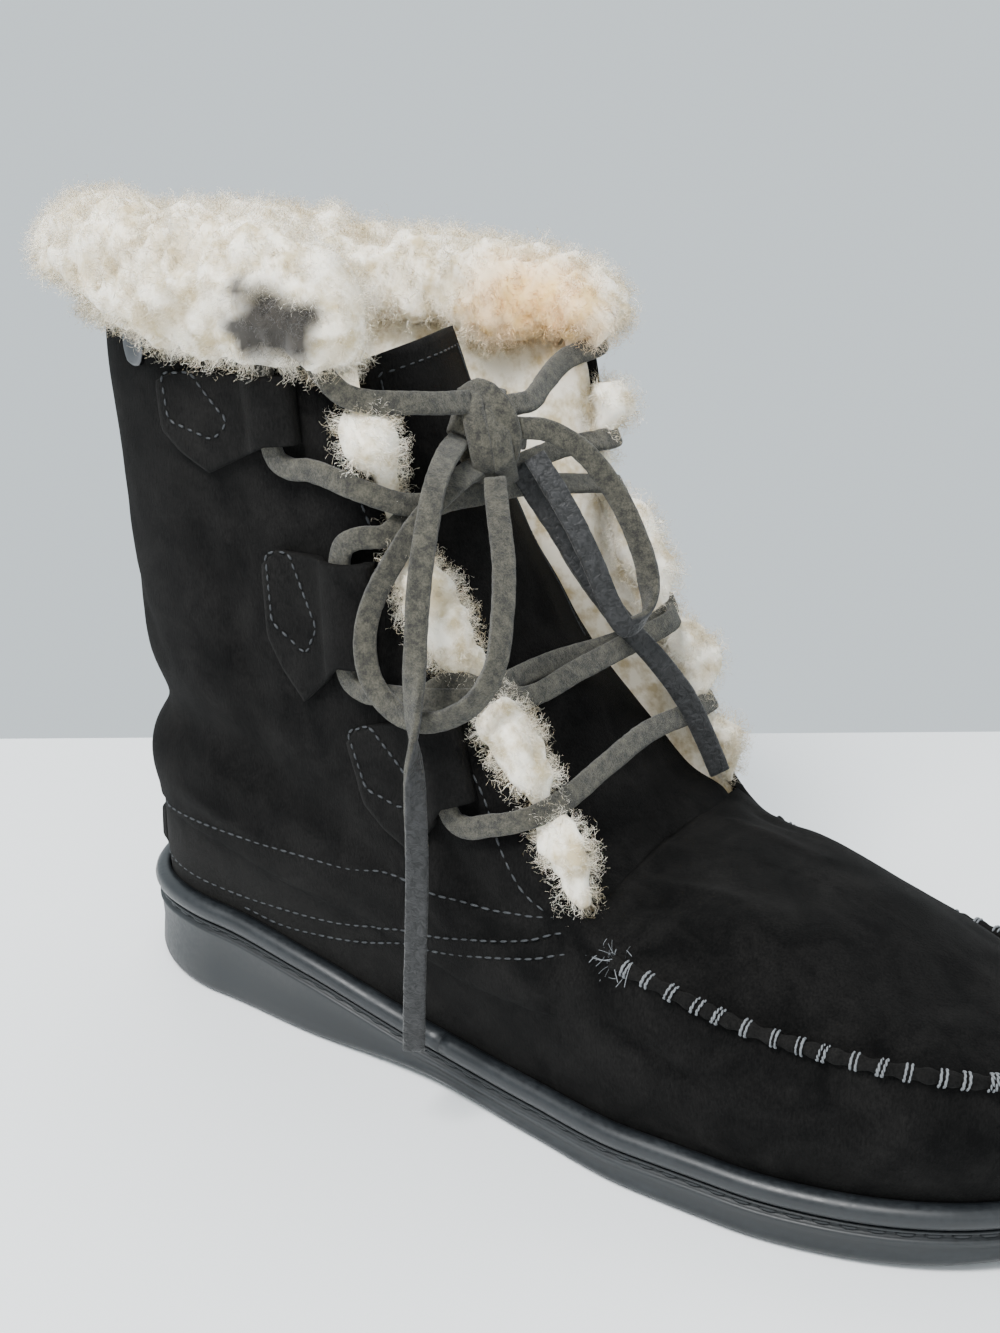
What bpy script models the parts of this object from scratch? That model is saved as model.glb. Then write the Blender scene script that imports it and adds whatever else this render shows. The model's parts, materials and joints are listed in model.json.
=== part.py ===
"""Mukluk boot: a laced ankle boot of suede with a shearling cuff, on a moulded rubber sole.

The boot is modelled with its heel at x = 0, its toe along +X, its outer side along -Y and the
floor at z = 0. An empty then carries every piece, so that the origin lies on the floor under
the middle of the boot.
"""

import math

import bmesh
import bpy
import numpy as np
from mathutils import Matrix, Vector

MM = 0.001

# Driving dimensions
LENGTH = 0.275
BALL_WIDTH = 0.092
SOLE_HEEL = 0.0285
SOLE_FRONT = 0.0165
INSTEP_HEIGHT = 0.065
SHAFT_HEIGHT = 0.190
HEEL_ROUND = 0.040
TOE_ROUND_OUTER = 0.075
TOE_ROUND_INNER = 0.062
TOE_SPRING = 0.0035
ARCH_LIFT = 0.0015
SHAFT_LEAN = 0.005
SHAFT_TILT = 0.006
SHAFT_TWIST = 0.012
INNER_SEAM_DROP = 0.006
INNER_SEAM_SHIFT = 0.004
WALL = 0.0024
CLEARANCE = 0.0004
TAB_GAP = 0.0009
WELT_HEIGHT = 0.0055
WELT_REACH = 0.0034
WELT_JOINT = 0.0005
WELT_JOINT_ROW = 4.65
INSOLE_THICKNESS = 0.0045
TREAD_DEPTH = 0.0020
TREAD_GROOVE = 0.0032
SEAM_RADIUS = 0.0015
QUARTER_STEP = 0.0010
COUNTER_THICKNESS = 0.0018
TONGUE_THICKNESS = 0.0045
TAB_LEATHER = 0.0015
TUNNEL_WIDTH = 0.0115
TUNNEL_HEIGHT = 0.0042
LACE_WIDTH = 0.0054
LACE_THICKNESS = 0.0020
LACE_STEP = 0.0068
CORD_DIAMETER = 0.0038
CUFF_RISE = 0.033
CUFF_REACH = 0.0155
CUFF_INNER_REACH = 0.014
BADGE_HEIGHT = 0.011
BADGE_WIDTH = 0.0085
BADGE_THICKNESS = 0.0012

# Grid counts
AROUND = 60
UP = 12
CUFF_AROUND = 40
GIRTH = 1.15 * LENGTH

OUTER = -1
INNER = 1

# Sole plan: share of length, half width at the outer and the inner side as shares of ball width
PLAN = (
    (0.000, 0.375, 0.365),
    (0.145, 0.375, 0.365),
    (0.255, 0.398, 0.352),
    (0.400, 0.410, 0.335),
    (0.527, 0.468, 0.395),
    (0.636, 0.522, 0.455),
    (0.727, 0.525, 0.475),
    (0.820, 0.515, 0.475),
    (1.000, 0.505, 0.475),
)

# Sole height: share of length, wedge as a share of heel over forefoot, arch share, spring share
HEIGHTS = (
    (0.000, 0.74, 0.0, 0.00),
    (0.110, 1.00, 0.0, 0.00),
    (0.255, 0.71, 0.0, 0.00),
    (0.400, 0.04, 1.0, 0.00),
    (0.550, -0.08, 0.0, 0.00),
    (0.730, 0.02, 0.0, 0.00),
    (0.860, 0.02, 0.0, 0.12),
    (1.000, -0.06, 0.0, 1.00),
)

# Sections of the upper from the heel's back to the toe: foot of the section along the sole, then the
# middle line (at the toe it is the apron's seam) and the top line, each as length share, half width
# share and rise share, then how far the wall bulges below and above the middle line, in mm
SECTIONS = (
    (0.000, 0.036, 0.000, 1.30, 0.000, 0.000, 0.952, 1.0, 0.0),
    (0.045, 0.062, 0.262, 1.32, 0.042, 0.312, 0.952, 1.0, 0.0),
    (0.145, 0.150, 0.386, 1.36, 0.145, 0.445, 0.952, 1.5, 0.0),
    (0.250, 0.252, 0.412, 1.40, 0.250, 0.475, 0.952, 2.0, 0.0),
    (0.360, 0.352, 0.430, 1.44, 0.345, 0.445, 0.952, 2.0, 0.0),
    (0.455, 0.440, 0.452, 1.12, 0.415, 0.400, 0.570, 2.0, 0.5),
    (0.540, 0.530, 0.466, 0.95, 0.516, 0.405, 0.240, 2.5, 0.5),
    (0.610, 0.610, 0.468, 0.88, 0.576, 0.420, 0.000, 3.0, 0.5),
    (0.730, 0.738, 0.456, 0.74, 0.578, 0.285, 0.014, 3.5, 4.5),
    (0.855, 0.868, 0.398, 0.71, 0.578, 0.170, 0.020, 3.5, 7.0),
    (0.953, 0.943, 0.240, 0.65, 0.578, 0.080, 0.024, 3.5, 8.0),
    (1.000, 0.962, 0.000, 0.62, 0.578, 0.000, 0.026, 3.5, 8.0),
)
LAST_ROW = len(SECTIONS) - 1
APRON_ROW = 7.0
COLLAR_ROW = 4.15
COUNTER_ROW = 0.65
COUNTER_RISE = (0.085, 0.205)
RIM_SHARE = 0.05
SIDE_SHARE = 0.475

# Folds: side (0 crosses the heel's back, rows below zero being the inner side), row and rise share
# where each starts, the same where it ends, half width and depth in mm (below zero is a trough)
FOLDS = (
    (0, -2.2, 0.610, 2.8, 0.500, 8.0, -4.5),
    (0, -1.6, 0.460, 1.9, 0.430, 14.0, 2.2),
    (OUTER, 2.2, 0.520, 4.0, 0.420, 6.0, -1.6),
    (INNER, 2.2, 0.540, 4.0, 0.440, 6.0, -1.8),
    (OUTER, 4.6, 0.620, 5.6, 0.500, 7.0, -1.4),
    (OUTER, 8.0, 0.800, 11.0, 0.760, 9.0, 1.6),
    (INNER, 8.0, 0.820, 11.0, 0.780, 9.0, 1.4),
    (OUTER, 9.0, 0.660, 11.0, 0.660, 7.0, -1.2),
    (INNER, 9.0, 0.660, 11.0, 0.660, 7.0, -1.2),
)

# Tongue sections: length share, rise share from the instep to the collar, half width share, arch in mm
TONGUE = (
    (0.5765, 0.020, 0.350, 1.5),
    (0.545, 0.085, 0.335, 4.0),
    (0.512, 0.200, 0.310, 6.0),
    (0.462, 0.350, 0.290, 7.5),
    (0.420, 0.510, 0.265, 8.0),
    (0.385, 0.660, 0.245, 8.0),
    (0.355, 0.810, 0.225, 7.0),
    (0.330, 0.955, 0.195, 6.0),
)

# Lace tabs of the outer side, from the collar down: foot and head of the tunnel's line, each as length
# share and height share of the shaft, then how far the pad reaches back from that line, in mm
TABS = (
    (0.273, 0.876, 0.266, 0.960, 34.0),
    (0.345, 0.610, 0.340, 0.742, 24.0),
    (0.451, 0.458, 0.424, 0.563, 26.0),
)

# A tab's outline: share of the tunnel's line at its front and at its back, share of its reach
TAB_OUTLINE = (
    (0.00, -0.50, 0.60),
    (0.18, -0.20, 0.84),
    (0.40, 0.12, 1.00),
    (0.82, 0.84, 0.98),
    (1.00, 1.00, 0.80),
)

# Cuff along the collar: section row (below zero is the inner side), rise share, reach share
CUFF_COURSE = (
    (-4.15, 0.52, 0.80),
    (-3.40, 0.58, 0.95),
    (-1.60, 0.62, 1.00),
    (0.00, 0.70, 1.00),
    (2.00, 0.84, 0.85),
    (3.40, 0.88, 0.80),
    (4.15, 0.72, 0.72),
)

# Rings past each end of the cuff: how far in mm, scale
CUFF_ENDS = ((4.5, 0.86), (8.5, 0.62), (10.5, 0.30))

# Cuff section, from its outer lip over the top to its inner lip: reach share (below zero is inward),
# rise share, share of the locks' relief
CUFF_SECTION = (
    (0.40, -0.05, 0.4),
    (0.78, 0.05, 0.8),
    (0.98, 0.26, 1.0),
    (1.00, 0.52, 1.0),
    (0.80, 0.80, 1.0),
    (0.42, 0.97, 1.0),
    (-0.05, 1.00, 1.0),
    (-0.50, 0.90, 1.0),
    (-0.85, 0.64, 0.8),
    (-0.95, 0.30, 0.6),
    (-0.85, 0.00, 0.5),
    (-0.50, -0.22, 0.2),
)

# Waves that part the cuff into locks: turns along the collar, turns round the section, phase, mm
LOCKS = ((23, 2, 0.4, 1.3), (37, -3, 1.9, 1.0), (53, 5, 4.1, 0.7), (11, 1, 2.6, 1.2))

# The lace's bars: what each leaves and what it reaches, as a tab's side, number and end (None is the
# knot), and between them its way over the throat: length share, half width share, height share
BARS = (
    (None, (OUTER, 1, "head"), (
        (0.400, -0.124, 0.916), (0.385, -0.26, 0.928), (0.345, -0.42, 0.948))),
    ((OUTER, 1, "foot"), (INNER, 2, "head"), (
        (0.362, -0.428, 0.834), (0.386, -0.36, 0.815), (0.408, -0.15, 0.802), (0.414, 0.05, 0.788),
        (0.428, 0.24, 0.768), (0.442, 0.435, 0.742))),
    ((INNER, 2, "foot"), (OUTER, 3, "head"), (
        (0.459, 0.489, 0.562), (0.499, 0.424, 0.581), (0.520, 0.32, 0.590), (0.512, 0.14, 0.588),
        (0.500, -0.06, 0.584), (0.486, -0.28, 0.580), (0.470, -0.402, 0.608))),
    ((OUTER, 3, "foot"), (INNER, 3, "foot"), (
        (0.509, -0.470, 0.456), (0.528, -0.444, 0.467), (0.537, -0.376, 0.471), (0.545, -0.16, 0.486),
        (0.548, 0.04, 0.492), (0.552, 0.26, 0.478), (0.536, 0.476, 0.452))),
    ((INNER, 3, "head"), (OUTER, 2, "foot"), (
        (0.498, 0.446, 0.587), (0.500, 0.30, 0.575), (0.490, 0.12, 0.578), (0.474, -0.10, 0.588),
        (0.466, -0.33, 0.593), (0.470, -0.400, 0.597), (0.453, -0.446, 0.596),
        (0.411, -0.472, 0.588))),
    ((OUTER, 2, "head"), (INNER, 1, "foot"), (
        (0.384, -0.36, 0.792), (0.396, -0.15, 0.800), (0.402, 0.05, 0.806), (0.416, 0.26, 0.812),
        (0.435, 0.436, 0.808), (0.419, 0.498, 0.805))),
    ((INNER, 1, "head"), None, (
        (0.403, 0.517, 0.928), (0.414, 0.455, 0.926), (0.404, 0.34, 0.920), (0.414, 0.17, 0.910), (0.424, 0.05, 0.900))),
)

# How the lace turns forward at a tunnel's end: way past the end, way in front of the line, in mm
TURN = ((1.0, 0.0), (4.2, 1.3), (5.9, 4.6), (6.0, 9.0))

# The bow's routes in mm, as they lie
CORD_ROUTES = {
    "lace_knot": (
        (106.0, -8.0, 173.5), (111.0, -8.5, 176.5), (117.0, -9.0, 173.5), (119.5, -9.0, 167.0),
        (118.0, -9.0, 160.5), (113.0, -8.5, 157.5), (108.0, -8.0, 159.5), (106.6, -8.5, 166.5),
    ),
    "lace_loop_left": (
        (112.9, -12.4, 159.3), (113.5, -23.0, 158.4), (110.9, -32.7, 152.5), (108.8, -41.4, 144.4),
        (105.5, -46.0, 134.5), (105.0, -48.5, 126.0), (107.5, -50.0, 118.0), (113.0, -50.5, 112.5),
        (120.0, -50.5, 110.5), (127.5, -49.5, 112.5), (134.0, -47.0, 117.5), (137.0, -43.5, 125.0),
        (135.5, -38.0, 134.0), (131.0, -30.0, 144.0), (124.5, -22.0, 152.0), (118.5, -14.0, 157.5),
    ),
    "lace_end_left": (
        (107.4, -10.9, 165.4), (112.0, -24.0, 164.8), (115.5, -34.0, 161.5), (118.5, -42.5, 153.0),
        (120.0, -48.0, 141.5), (121.5, -52.0, 128.0), (122.5, -55.0, 114.0), (123.5, -56.5, 98.0),
        (124.0, -57.0, 80.0), (123.5, -57.5, 60.0), (122.5, -57.5, 42.0), (121.5, -57.0, 26.0),
    ),
    "lace_loop_right": (
        (119.6, -6.3, 168.0), (125.0, -1.5, 167.0), (131.8, 3.0, 162.0), (138.5, 6.0, 153.0),
        (144.0, 7.0, 143.0), (148.0, 7.0, 132.0), (149.0, 4.5, 124.0), (146.5, 0.0, 121.5),
        (143.5, -2.5, 127.0), (139.5, -4.0, 137.0), (134.0, -4.5, 147.0), (127.5, -4.5, 156.0),
        (123.0, -4.0, 161.0),
    ),
    "lace_end_right": (
        (117.5, -3.0, 157.5), (120.5, -0.5, 151.0), (126.0, 2.0, 142.0), (133.0, 4.0, 130.5),
        (141.0, 7.0, 119.5), (149.5, 10.8, 109.0), (154.0, 16.0, 99.0), (157.5, 20.2, 88.0),
        (160.5, 24.0, 76.5),
    ),
}

# Wool along the throat's edge: section row, radius and how far it lies under the edge in mm; it is
# thin and low where the lace presses on it
THROAT_TUFTS = (
    (4.42, 2.6, 1.0),
    (4.53, 4.8, 1.0),
    (4.68, 2.2, 3.8),
    (4.84, 2.2, 3.8),
    (5.02, 4.4, 1.0),
    (5.20, 5.2, 1.0),
    (5.38, 4.4, 1.0),
    (5.57, 2.2, 3.8),
    (5.78, 4.8, 1.0),
    (5.98, 4.4, 1.5),
    (6.19, 2.2, 3.8),
    (6.42, 4.4, 1.0),
    (6.68, 3.0, 1.0),
    (6.88, 1.6, 1.0),
)


def steps_between(start, stop, count):
    """Return count evenly spaced numbers from start to stop."""
    return np.linspace(start, stop, count)


def through(table, column, at, mirror=None):
    """Return a smooth curve through a table's column at the places given.

    The curve never overshoots between two rows. With mirror 1 or -1 the table is carried on past
    both ends as an even or an odd curve, so that the two sides of the boot meet smoothly.
    """
    rows = np.array(table, dtype=float)
    places = rows[:, 0]
    values = rows[:, column]
    if mirror is not None:
        places = np.concatenate(([2 * places[0] - places[1]], places, [2 * places[-1] - places[-2]]))
        values = np.concatenate(([mirror * values[1]], values, [mirror * values[-2]]))
    return monotone(places, values, np.asarray(at, dtype=float))


def monotone(places, values, at):
    """Return the cubic through the points that keeps each rise and fall, at the places given."""
    widths = np.diff(places)
    slopes = np.diff(values) / widths
    tangents = np.empty_like(values)
    tangents[0] = slopes[0]
    tangents[-1] = slopes[-1]
    mean = 0.5 * (slopes[:-1] + slopes[1:])
    limit = 3.0 * np.minimum(np.abs(slopes[:-1]), np.abs(slopes[1:]))
    same = slopes[:-1] * slopes[1:] > 0
    tangents[1:-1] = np.where(same, np.sign(mean) * np.minimum(np.abs(mean), limit), 0.0)
    at = np.clip(at, places[0], places[-1])
    i = np.clip(np.searchsorted(places, at) - 1, 0, len(widths) - 1)
    t = (at - places[i]) / widths[i]
    return cubic(values[i], widths[i] * tangents[i], values[i + 1], widths[i] * tangents[i + 1], t)


def cubic(start, leave, stop, arrive, t):
    """Return the cubic from start to stop with the tangents leave and arrive, at t."""
    first = (2 * t**3 - 3 * t**2 + 1) * start + (t**3 - 2 * t**2 + t) * leave
    return first + (3 * t**2 - 2 * t**3) * stop + (t**3 - t**2) * arrive


def ramp(low, high, value):
    """Return 0 below low, 1 above high, and a smooth step between."""
    t = np.clip((np.asarray(value, dtype=float) - low) / (high - low), 0.0, 1.0)
    return t * t * (3 - 2 * t)


def half_width(x, side):
    """Return the sole's half width at x, on one side."""
    share = np.clip(x / LENGTH, 0.0, 1.0)
    column = 1 if side == OUTER else 2
    toe_round = TOE_ROUND_OUTER if side == OUTER else TOE_ROUND_INNER
    heel = np.clip(1 - x / HEEL_ROUND, 0.0, 1.0)
    toe = np.clip(1 - (LENGTH - x) / toe_round, 0.0, 1.0)
    ends = np.sqrt(np.clip(1 - heel**2, 0.0, 1.0)) * np.sqrt(np.clip(1 - toe**2, 0.0, 1.0))
    return BALL_WIDTH * through(PLAN, column, share) * ends


def sole_top(x):
    """Return the height of the welt's top edge over the floor at x."""
    share = np.clip(x / LENGTH, 0.0, 1.0)
    wedge = (SOLE_HEEL - SOLE_FRONT) * through(HEIGHTS, 1, share)
    return SOLE_FRONT + wedge + 0.6 * TOE_SPRING * through(HEIGHTS, 3, share)


def sole_bottom(x):
    """Return the height of the sole's lower edge over the floor at x."""
    share = np.clip(x / LENGTH, 0.0, 1.0)
    return ARCH_LIFT * through(HEIGHTS, 2, share) + TOE_SPRING * through(HEIGHTS, 3, share)


def seat(x):
    """Return the height of the outsole's upper face at x, where the upper and the insole stand."""
    return sole_top(x) - WELT_HEIGHT - CLEARANCE


def sole_edge(x, side, inset):
    """Return points on the sole's plan outline at x, moved inward by inset, and the way outward."""
    step = 0.0002 * LENGTH
    ahead = np.clip(x + step, 0.0, LENGTH)
    behind = np.clip(x - step, 0.0, LENGTH)
    run = ahead - behind
    rise = half_width(ahead, side) - half_width(behind, side)
    length = np.hypot(run, rise)
    out_x = -rise / length
    out_y = run / length
    at_end = half_width(x, side) < 1e-9
    out_x = np.where(at_end, np.where(x < 0.5 * LENGTH, -1.0, 1.0), out_x)
    out_y = np.where(at_end, 0.0, out_y)
    px = x - inset * out_x
    py = side * (half_width(x, side) - inset * out_y)
    return px, py, out_x, side * out_y


def sole_ring(inset, height):
    """Return a closed ring round the sole, inset from its outline, at the height that height(x) gives."""
    half = AROUND // 2
    x = foot_station(steps_between(0.0, LAST_ROW, half + 1))
    points = []
    for side, order in ((OUTER, range(half + 1)), (INNER, range(half - 1, 0, -1))):
        px, py, _, _ = sole_edge(x, side, inset)
        for i in order:
            points.append((px[i], py[i], height(px[i])))
    return points


def section_rows():
    """Return the section table with its row number in front, to be read by row."""
    return [(row, *values) for row, values in enumerate(SECTIONS)]


def foot_station(row):
    """Return x along the sole where the sections at the rows given have their foot."""
    return LENGTH * np.clip(through(section_rows(), 1, row, 1), 0.0, 1.0)


def base_skin(row, rise, side):
    """Return the upper's skin without steps or folds, at section rows and rise shares.

    A rise of 0 is the lower edge inside the welt and 1 is the top line. The result has one more
    axis, of x, y and z.
    """
    table = section_rows()
    row = np.asarray(row, dtype=float)
    rise = np.asarray(rise, dtype=float)
    inset = WELT_REACH + CLEARANCE
    wx, wy, out_x, out_y = sole_edge(foot_station(row), side, inset)
    rim = WELT_HEIGHT + CLEARANCE
    foot = np.stack([wx, wy, seat(wx) + CLEARANCE + rim], axis=-1)
    low = SOLE_FRONT + (INSTEP_HEIGHT - SOLE_FRONT) * through(table, 4, row, 1)
    inner_apron = ramp(APRON_ROW - 1.0, APRON_ROW + 1.0, row) * (side == INNER)
    middle = np.stack([
        LENGTH * through(table, 2, row, 1),
        side * BALL_WIDTH * through(table, 3, row, -1) - INNER_SEAM_SHIFT * inner_apron * np.sin(
            math.pi * np.clip((LAST_ROW - row) / (LAST_ROW - APRON_ROW), 0.0, 0.5)),
        low - INNER_SEAM_DROP * inner_apron * ramp(LAST_ROW, LAST_ROW - 2.0, row),
    ], axis=-1)
    climbed = through(table, 7, row, 1)
    width = through(table, 6, row, -1)
    top = np.stack([
        LENGTH * through(table, 5, row, 1) + side * SHAFT_TWIST * climbed * ramp(0.0, 4.0, row),
        side * BALL_WIDTH * width + SHAFT_LEAN * climbed,
        INSTEP_HEIGHT + (SHAFT_HEIGHT - INSTEP_HEIGHT) * climbed - side * SHAFT_TILT * climbed * width / SIDE_SHARE,
    ], axis=-1)
    outward = np.stack([out_x, out_y, np.zeros_like(out_x)], axis=-1)
    upward = np.zeros_like(outward)
    upward[..., 2] = 1.0
    apron = ramp(APRON_ROW - 0.6, APRON_ROW + 0.4, row)[..., None]
    climb = np.clip((rise - RIM_SHARE) / (1 - RIM_SHARE), 0.0, 1.0)
    below = np.clip(2 * climb, 0.0, 1.0)[..., None]
    above = np.clip(2 * climb - 1, 0.0, 1.0)[..., None]
    swell = MM * through(table, 8, row, 1)[..., None] * np.sin(math.pi * below) ** 0.8
    dome = MM * through(table, 9, row, 1)[..., None] * np.sin(math.pi * above)
    folded = foot + (middle - foot) * below + (top - middle) * above
    bend = 0.5 * (top - foot)
    first = cubic(foot, middle - foot, middle, bend, below)
    second = cubic(middle, bend, top, top - middle, above)
    curved = np.where(climb[..., None] < 0.5, first, second)
    wall = folded * apron + curved * (1 - apron)
    wall = wall + outward * swell + (upward * apron + outward * (1 - apron)) * dome
    return wall - upward * rim * (1 - np.clip(rise / RIM_SHARE, 0.0, 1.0))[..., None]


def relief(row, rise, side):
    """Return how far steps and folds lift the skin, at section rows and rise shares."""
    row = np.asarray(row, dtype=float)
    rise = np.asarray(rise, dtype=float)
    lift = np.zeros(np.broadcast(row, rise).shape)
    row_run = GIRTH / LAST_ROW
    rise_run = 0.8 * SHAFT_HEIGHT
    for fold_side, row_0, rise_0, row_1, rise_1, width, depth in FOLDS:
        if fold_side not in (0, side):
            continue
        across = -side * row if fold_side == 0 else row
        dx = (row_1 - row_0) * row_run
        dz = (rise_1 - rise_0) * rise_run
        px = (across - row_0) * row_run
        pz = (rise - rise_0) * rise_run
        t = np.clip((px * dx + pz * dz) / (dx * dx + dz * dz), 0.0, 1.0)
        away = np.hypot(px - t * dx, pz - t * dz)
        fade = 0.35 + 0.65 * np.sin(math.pi * np.clip(t, 0.04, 0.96))
        lift += MM * depth * fade * np.exp(-((away / (MM * width)) ** 2))
    edge = quarter_edge(row)
    step = ramp(edge - 0.02, edge + 0.02, rise) * (1 - ramp(APRON_ROW - 0.9, APRON_ROW - 0.5, row))
    lift += QUARTER_STEP * step
    ends = ramp(RIM_SHARE, 0.14, rise) * (1 - 0.7 * ramp(0.93, 1.0, rise))
    return lift * ends


def quarter_edge(row):
    """Return the rise share of the quarter's lower edge, which the stitch rows follow."""
    return 0.34 - 0.11 * ramp(0.0, 3.5, row) + 0.06 * ramp(4.0, 6.5, row)


def skin(row, rise, side, offset=0.0):
    """Return the upper's outer skin, moved outward by offset, and its outward normals."""
    row = np.asarray(row, dtype=float)
    rise = np.asarray(rise, dtype=float)
    row, rise = np.broadcast_arrays(row, rise)
    here = base_skin(row, rise, side)
    d_row = base_skin(row + 0.02, rise, side) - base_skin(row - 0.02, rise, side)
    low = np.where(rise < RIM_SHARE, 0.0, np.clip(rise - 0.01, 0.0, 1.0))
    high = np.where(rise < RIM_SHARE, RIM_SHARE, np.clip(rise + 0.01, 0.0, 1.0))
    d_rise = base_skin(row, high, side) - base_skin(row, low, side)
    normal = np.cross(d_row, d_rise) * side * -1.0
    normal /= np.linalg.norm(normal, axis=-1, keepdims=True)
    lift = relief(row, rise, side)[..., None] + np.asarray(offset)[..., None]
    return here + normal * lift, normal


def new_material(name, colour, roughness, metallic=0.0):
    """Return a plain Principled BSDF material."""
    material = bpy.data.materials.new(name)
    material.use_nodes = True
    shader = material.node_tree.nodes["Principled BSDF"]
    shader.inputs["Base Color"].default_value = (*colour, 1.0)
    shader.inputs["Roughness"].default_value = roughness
    shader.inputs["Metallic"].default_value = metallic
    return material


class Boot:
    """The scene's objects, their collections and their materials."""

    def __init__(self):
        self.pieces = bpy.data.collections.new("mukluk_boot")
        self.cutters = bpy.data.collections.new("cutters")
        bpy.context.scene.collection.children.link(self.pieces)
        bpy.context.scene.collection.children.link(self.cutters)
        self.frame = bpy.data.objects.new("boot_frame", None)
        self.pieces.objects.link(self.frame)
        self.materials = {
            "suede": new_material("suede", (0.010, 0.011, 0.012), 0.92),
            "rubber": new_material("rubber", (0.055, 0.062, 0.070), 0.55),
            "wool": new_material("wool", (0.82, 0.75, 0.62), 0.95),
            "lace": new_material("lace", (0.13, 0.125, 0.105), 0.85),
            "metal": new_material("metal", (0.72, 0.72, 0.70), 0.30, 1.0),
        }

    def add(self, name, mesh, material):
        """Add a mesh as a named piece of the boot."""
        mesh.materials.append(self.materials[material])
        piece = bpy.data.objects.new(name, mesh)
        piece.parent = self.frame
        self.pieces.objects.link(piece)
        return piece

    def centre(self, left_out):
        """Move the boot so that the origin is under the middle of its box, on the floor."""
        bpy.context.view_layer.update()
        depsgraph = bpy.context.evaluated_depsgraph_get()
        low = np.full(3, np.inf)
        high = np.full(3, -np.inf)
        for piece in self.pieces.objects:
            if piece.type == "EMPTY" or piece.name in left_out:
                continue
            evaluated = piece.evaluated_get(depsgraph)
            mesh = evaluated.to_mesh()
            points = np.array([piece.matrix_world @ v.co for v in mesh.vertices])
            evaluated.to_mesh_clear()
            low = np.minimum(low, points.min(axis=0))
            high = np.maximum(high, points.max(axis=0))
        self.frame.location = (-0.5 * (low[0] + high[0]), -0.5 * (low[1] + high[1]), -low[2])


def grid_mesh(name, rings, closed=False, cap="ladder"):
    """Return a closed mesh lofted through rings of points.

    With closed the last ring joins the first. Otherwise the cap is one face, or a ladder from each
    point to its partner across; with tips the first and the middle point are that ladder's ends.
    """
    rings = np.asarray(rings, dtype=float)
    count, size, _ = rings.shape
    bm = bmesh.new()
    verts = [[bm.verts.new(point) for point in ring] for ring in rings]
    for i in range(count if closed else count - 1):
        this, other = verts[i], verts[(i + 1) % count]
        for j in range(size):
            k = (j + 1) % size
            bm.faces.new((this[j], this[k], other[k], other[j]))
    if not closed:
        for ring in (verts[0], verts[-1]):
            if cap == "face":
                bm.faces.new(ring)
                continue
            for j in range(size // 2):
                shift = 0 if cap == "tips" else 1
                corners = [ring[j], ring[j + 1], ring[(-j - 1 - shift) % size], ring[(-j - shift) % size]]
                corners = list(dict.fromkeys(corners))
                if len(corners) > 2:
                    bm.faces.new(corners)
    bmesh.ops.recalc_face_normals(bm, faces=bm.faces)
    if bm.calc_volume(signed=True) < 0:
        bmesh.ops.reverse_faces(bm, faces=bm.faces)
    mesh = bpy.data.meshes.new(name)
    bm.to_mesh(mesh)
    bm.free()
    mesh.shade_smooth()
    mesh.set_sharp_from_angle(angle=math.radians(40))
    return mesh


def build_outsole(boot):
    """The moulded sole: tread, bevelled foot, hollowed side, groove under the welt and seat."""
    rings = [
        sole_ring(0.0030, sole_bottom),
        sole_ring(0.0008, lambda x: sole_bottom(x) + 0.0010),
        sole_ring(0.0000, lambda x: sole_bottom(x) + 0.0026),
        sole_ring(0.0007, lambda x: 0.5 * (sole_bottom(x) + seat(x))),
        sole_ring(0.0000, lambda x: seat(x) - 0.0024),
        sole_ring(0.0001, lambda x: seat(x) - 0.0014),
        sole_ring(0.0013, lambda x: seat(x) - 0.0008),
        sole_ring(0.0014, seat),
    ]
    piece = boot.add("outsole", grid_mesh("outsole", rings, cap="tips"), "rubber")
    cutter = tread_cutter(boot)
    cut = piece.modifiers.new("tread", "BOOLEAN")
    cut.operation = "DIFFERENCE"
    cut.solver = "EXACT"
    cut.object = cutter
    return piece


def tread_cutter(boot):
    """One object of the bars that cut the tread's grooves across heel and forefoot."""
    bm = bmesh.new()
    for first, last, count in ((0.105, 0.275, 4), (0.50, 0.86, 7)):
        for share in steps_between(first, last, count):
            x = share * LENGTH
            matrix = bar_matrix(x)
            bmesh.ops.create_cube(bm, size=1.0, matrix=matrix)
    mesh = bpy.data.meshes.new("tread_cutter")
    bm.to_mesh(mesh)
    bm.free()
    cutter = bpy.data.objects.new("tread_cutter", mesh)
    cutter.hide_render = True
    cutter.display_type = "WIRE"
    cutter.parent = boot.frame
    boot.cutters.objects.link(cutter)
    return cutter


def bar_matrix(x):
    """Return the place and size of a tread groove's bar at x."""
    inset = 0.16 * BALL_WIDTH
    outer = half_width(x, OUTER) - inset * 0.5
    inner = half_width(x, INNER) - inset * 0.5
    centre = Vector((x, 0.5 * (inner - outer), float(sole_bottom(x))))
    size = Matrix.Diagonal((TREAD_GROOVE, outer + inner, 2 * TREAD_DEPTH, 1.0))
    return Matrix.Translation(centre) @ size


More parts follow.
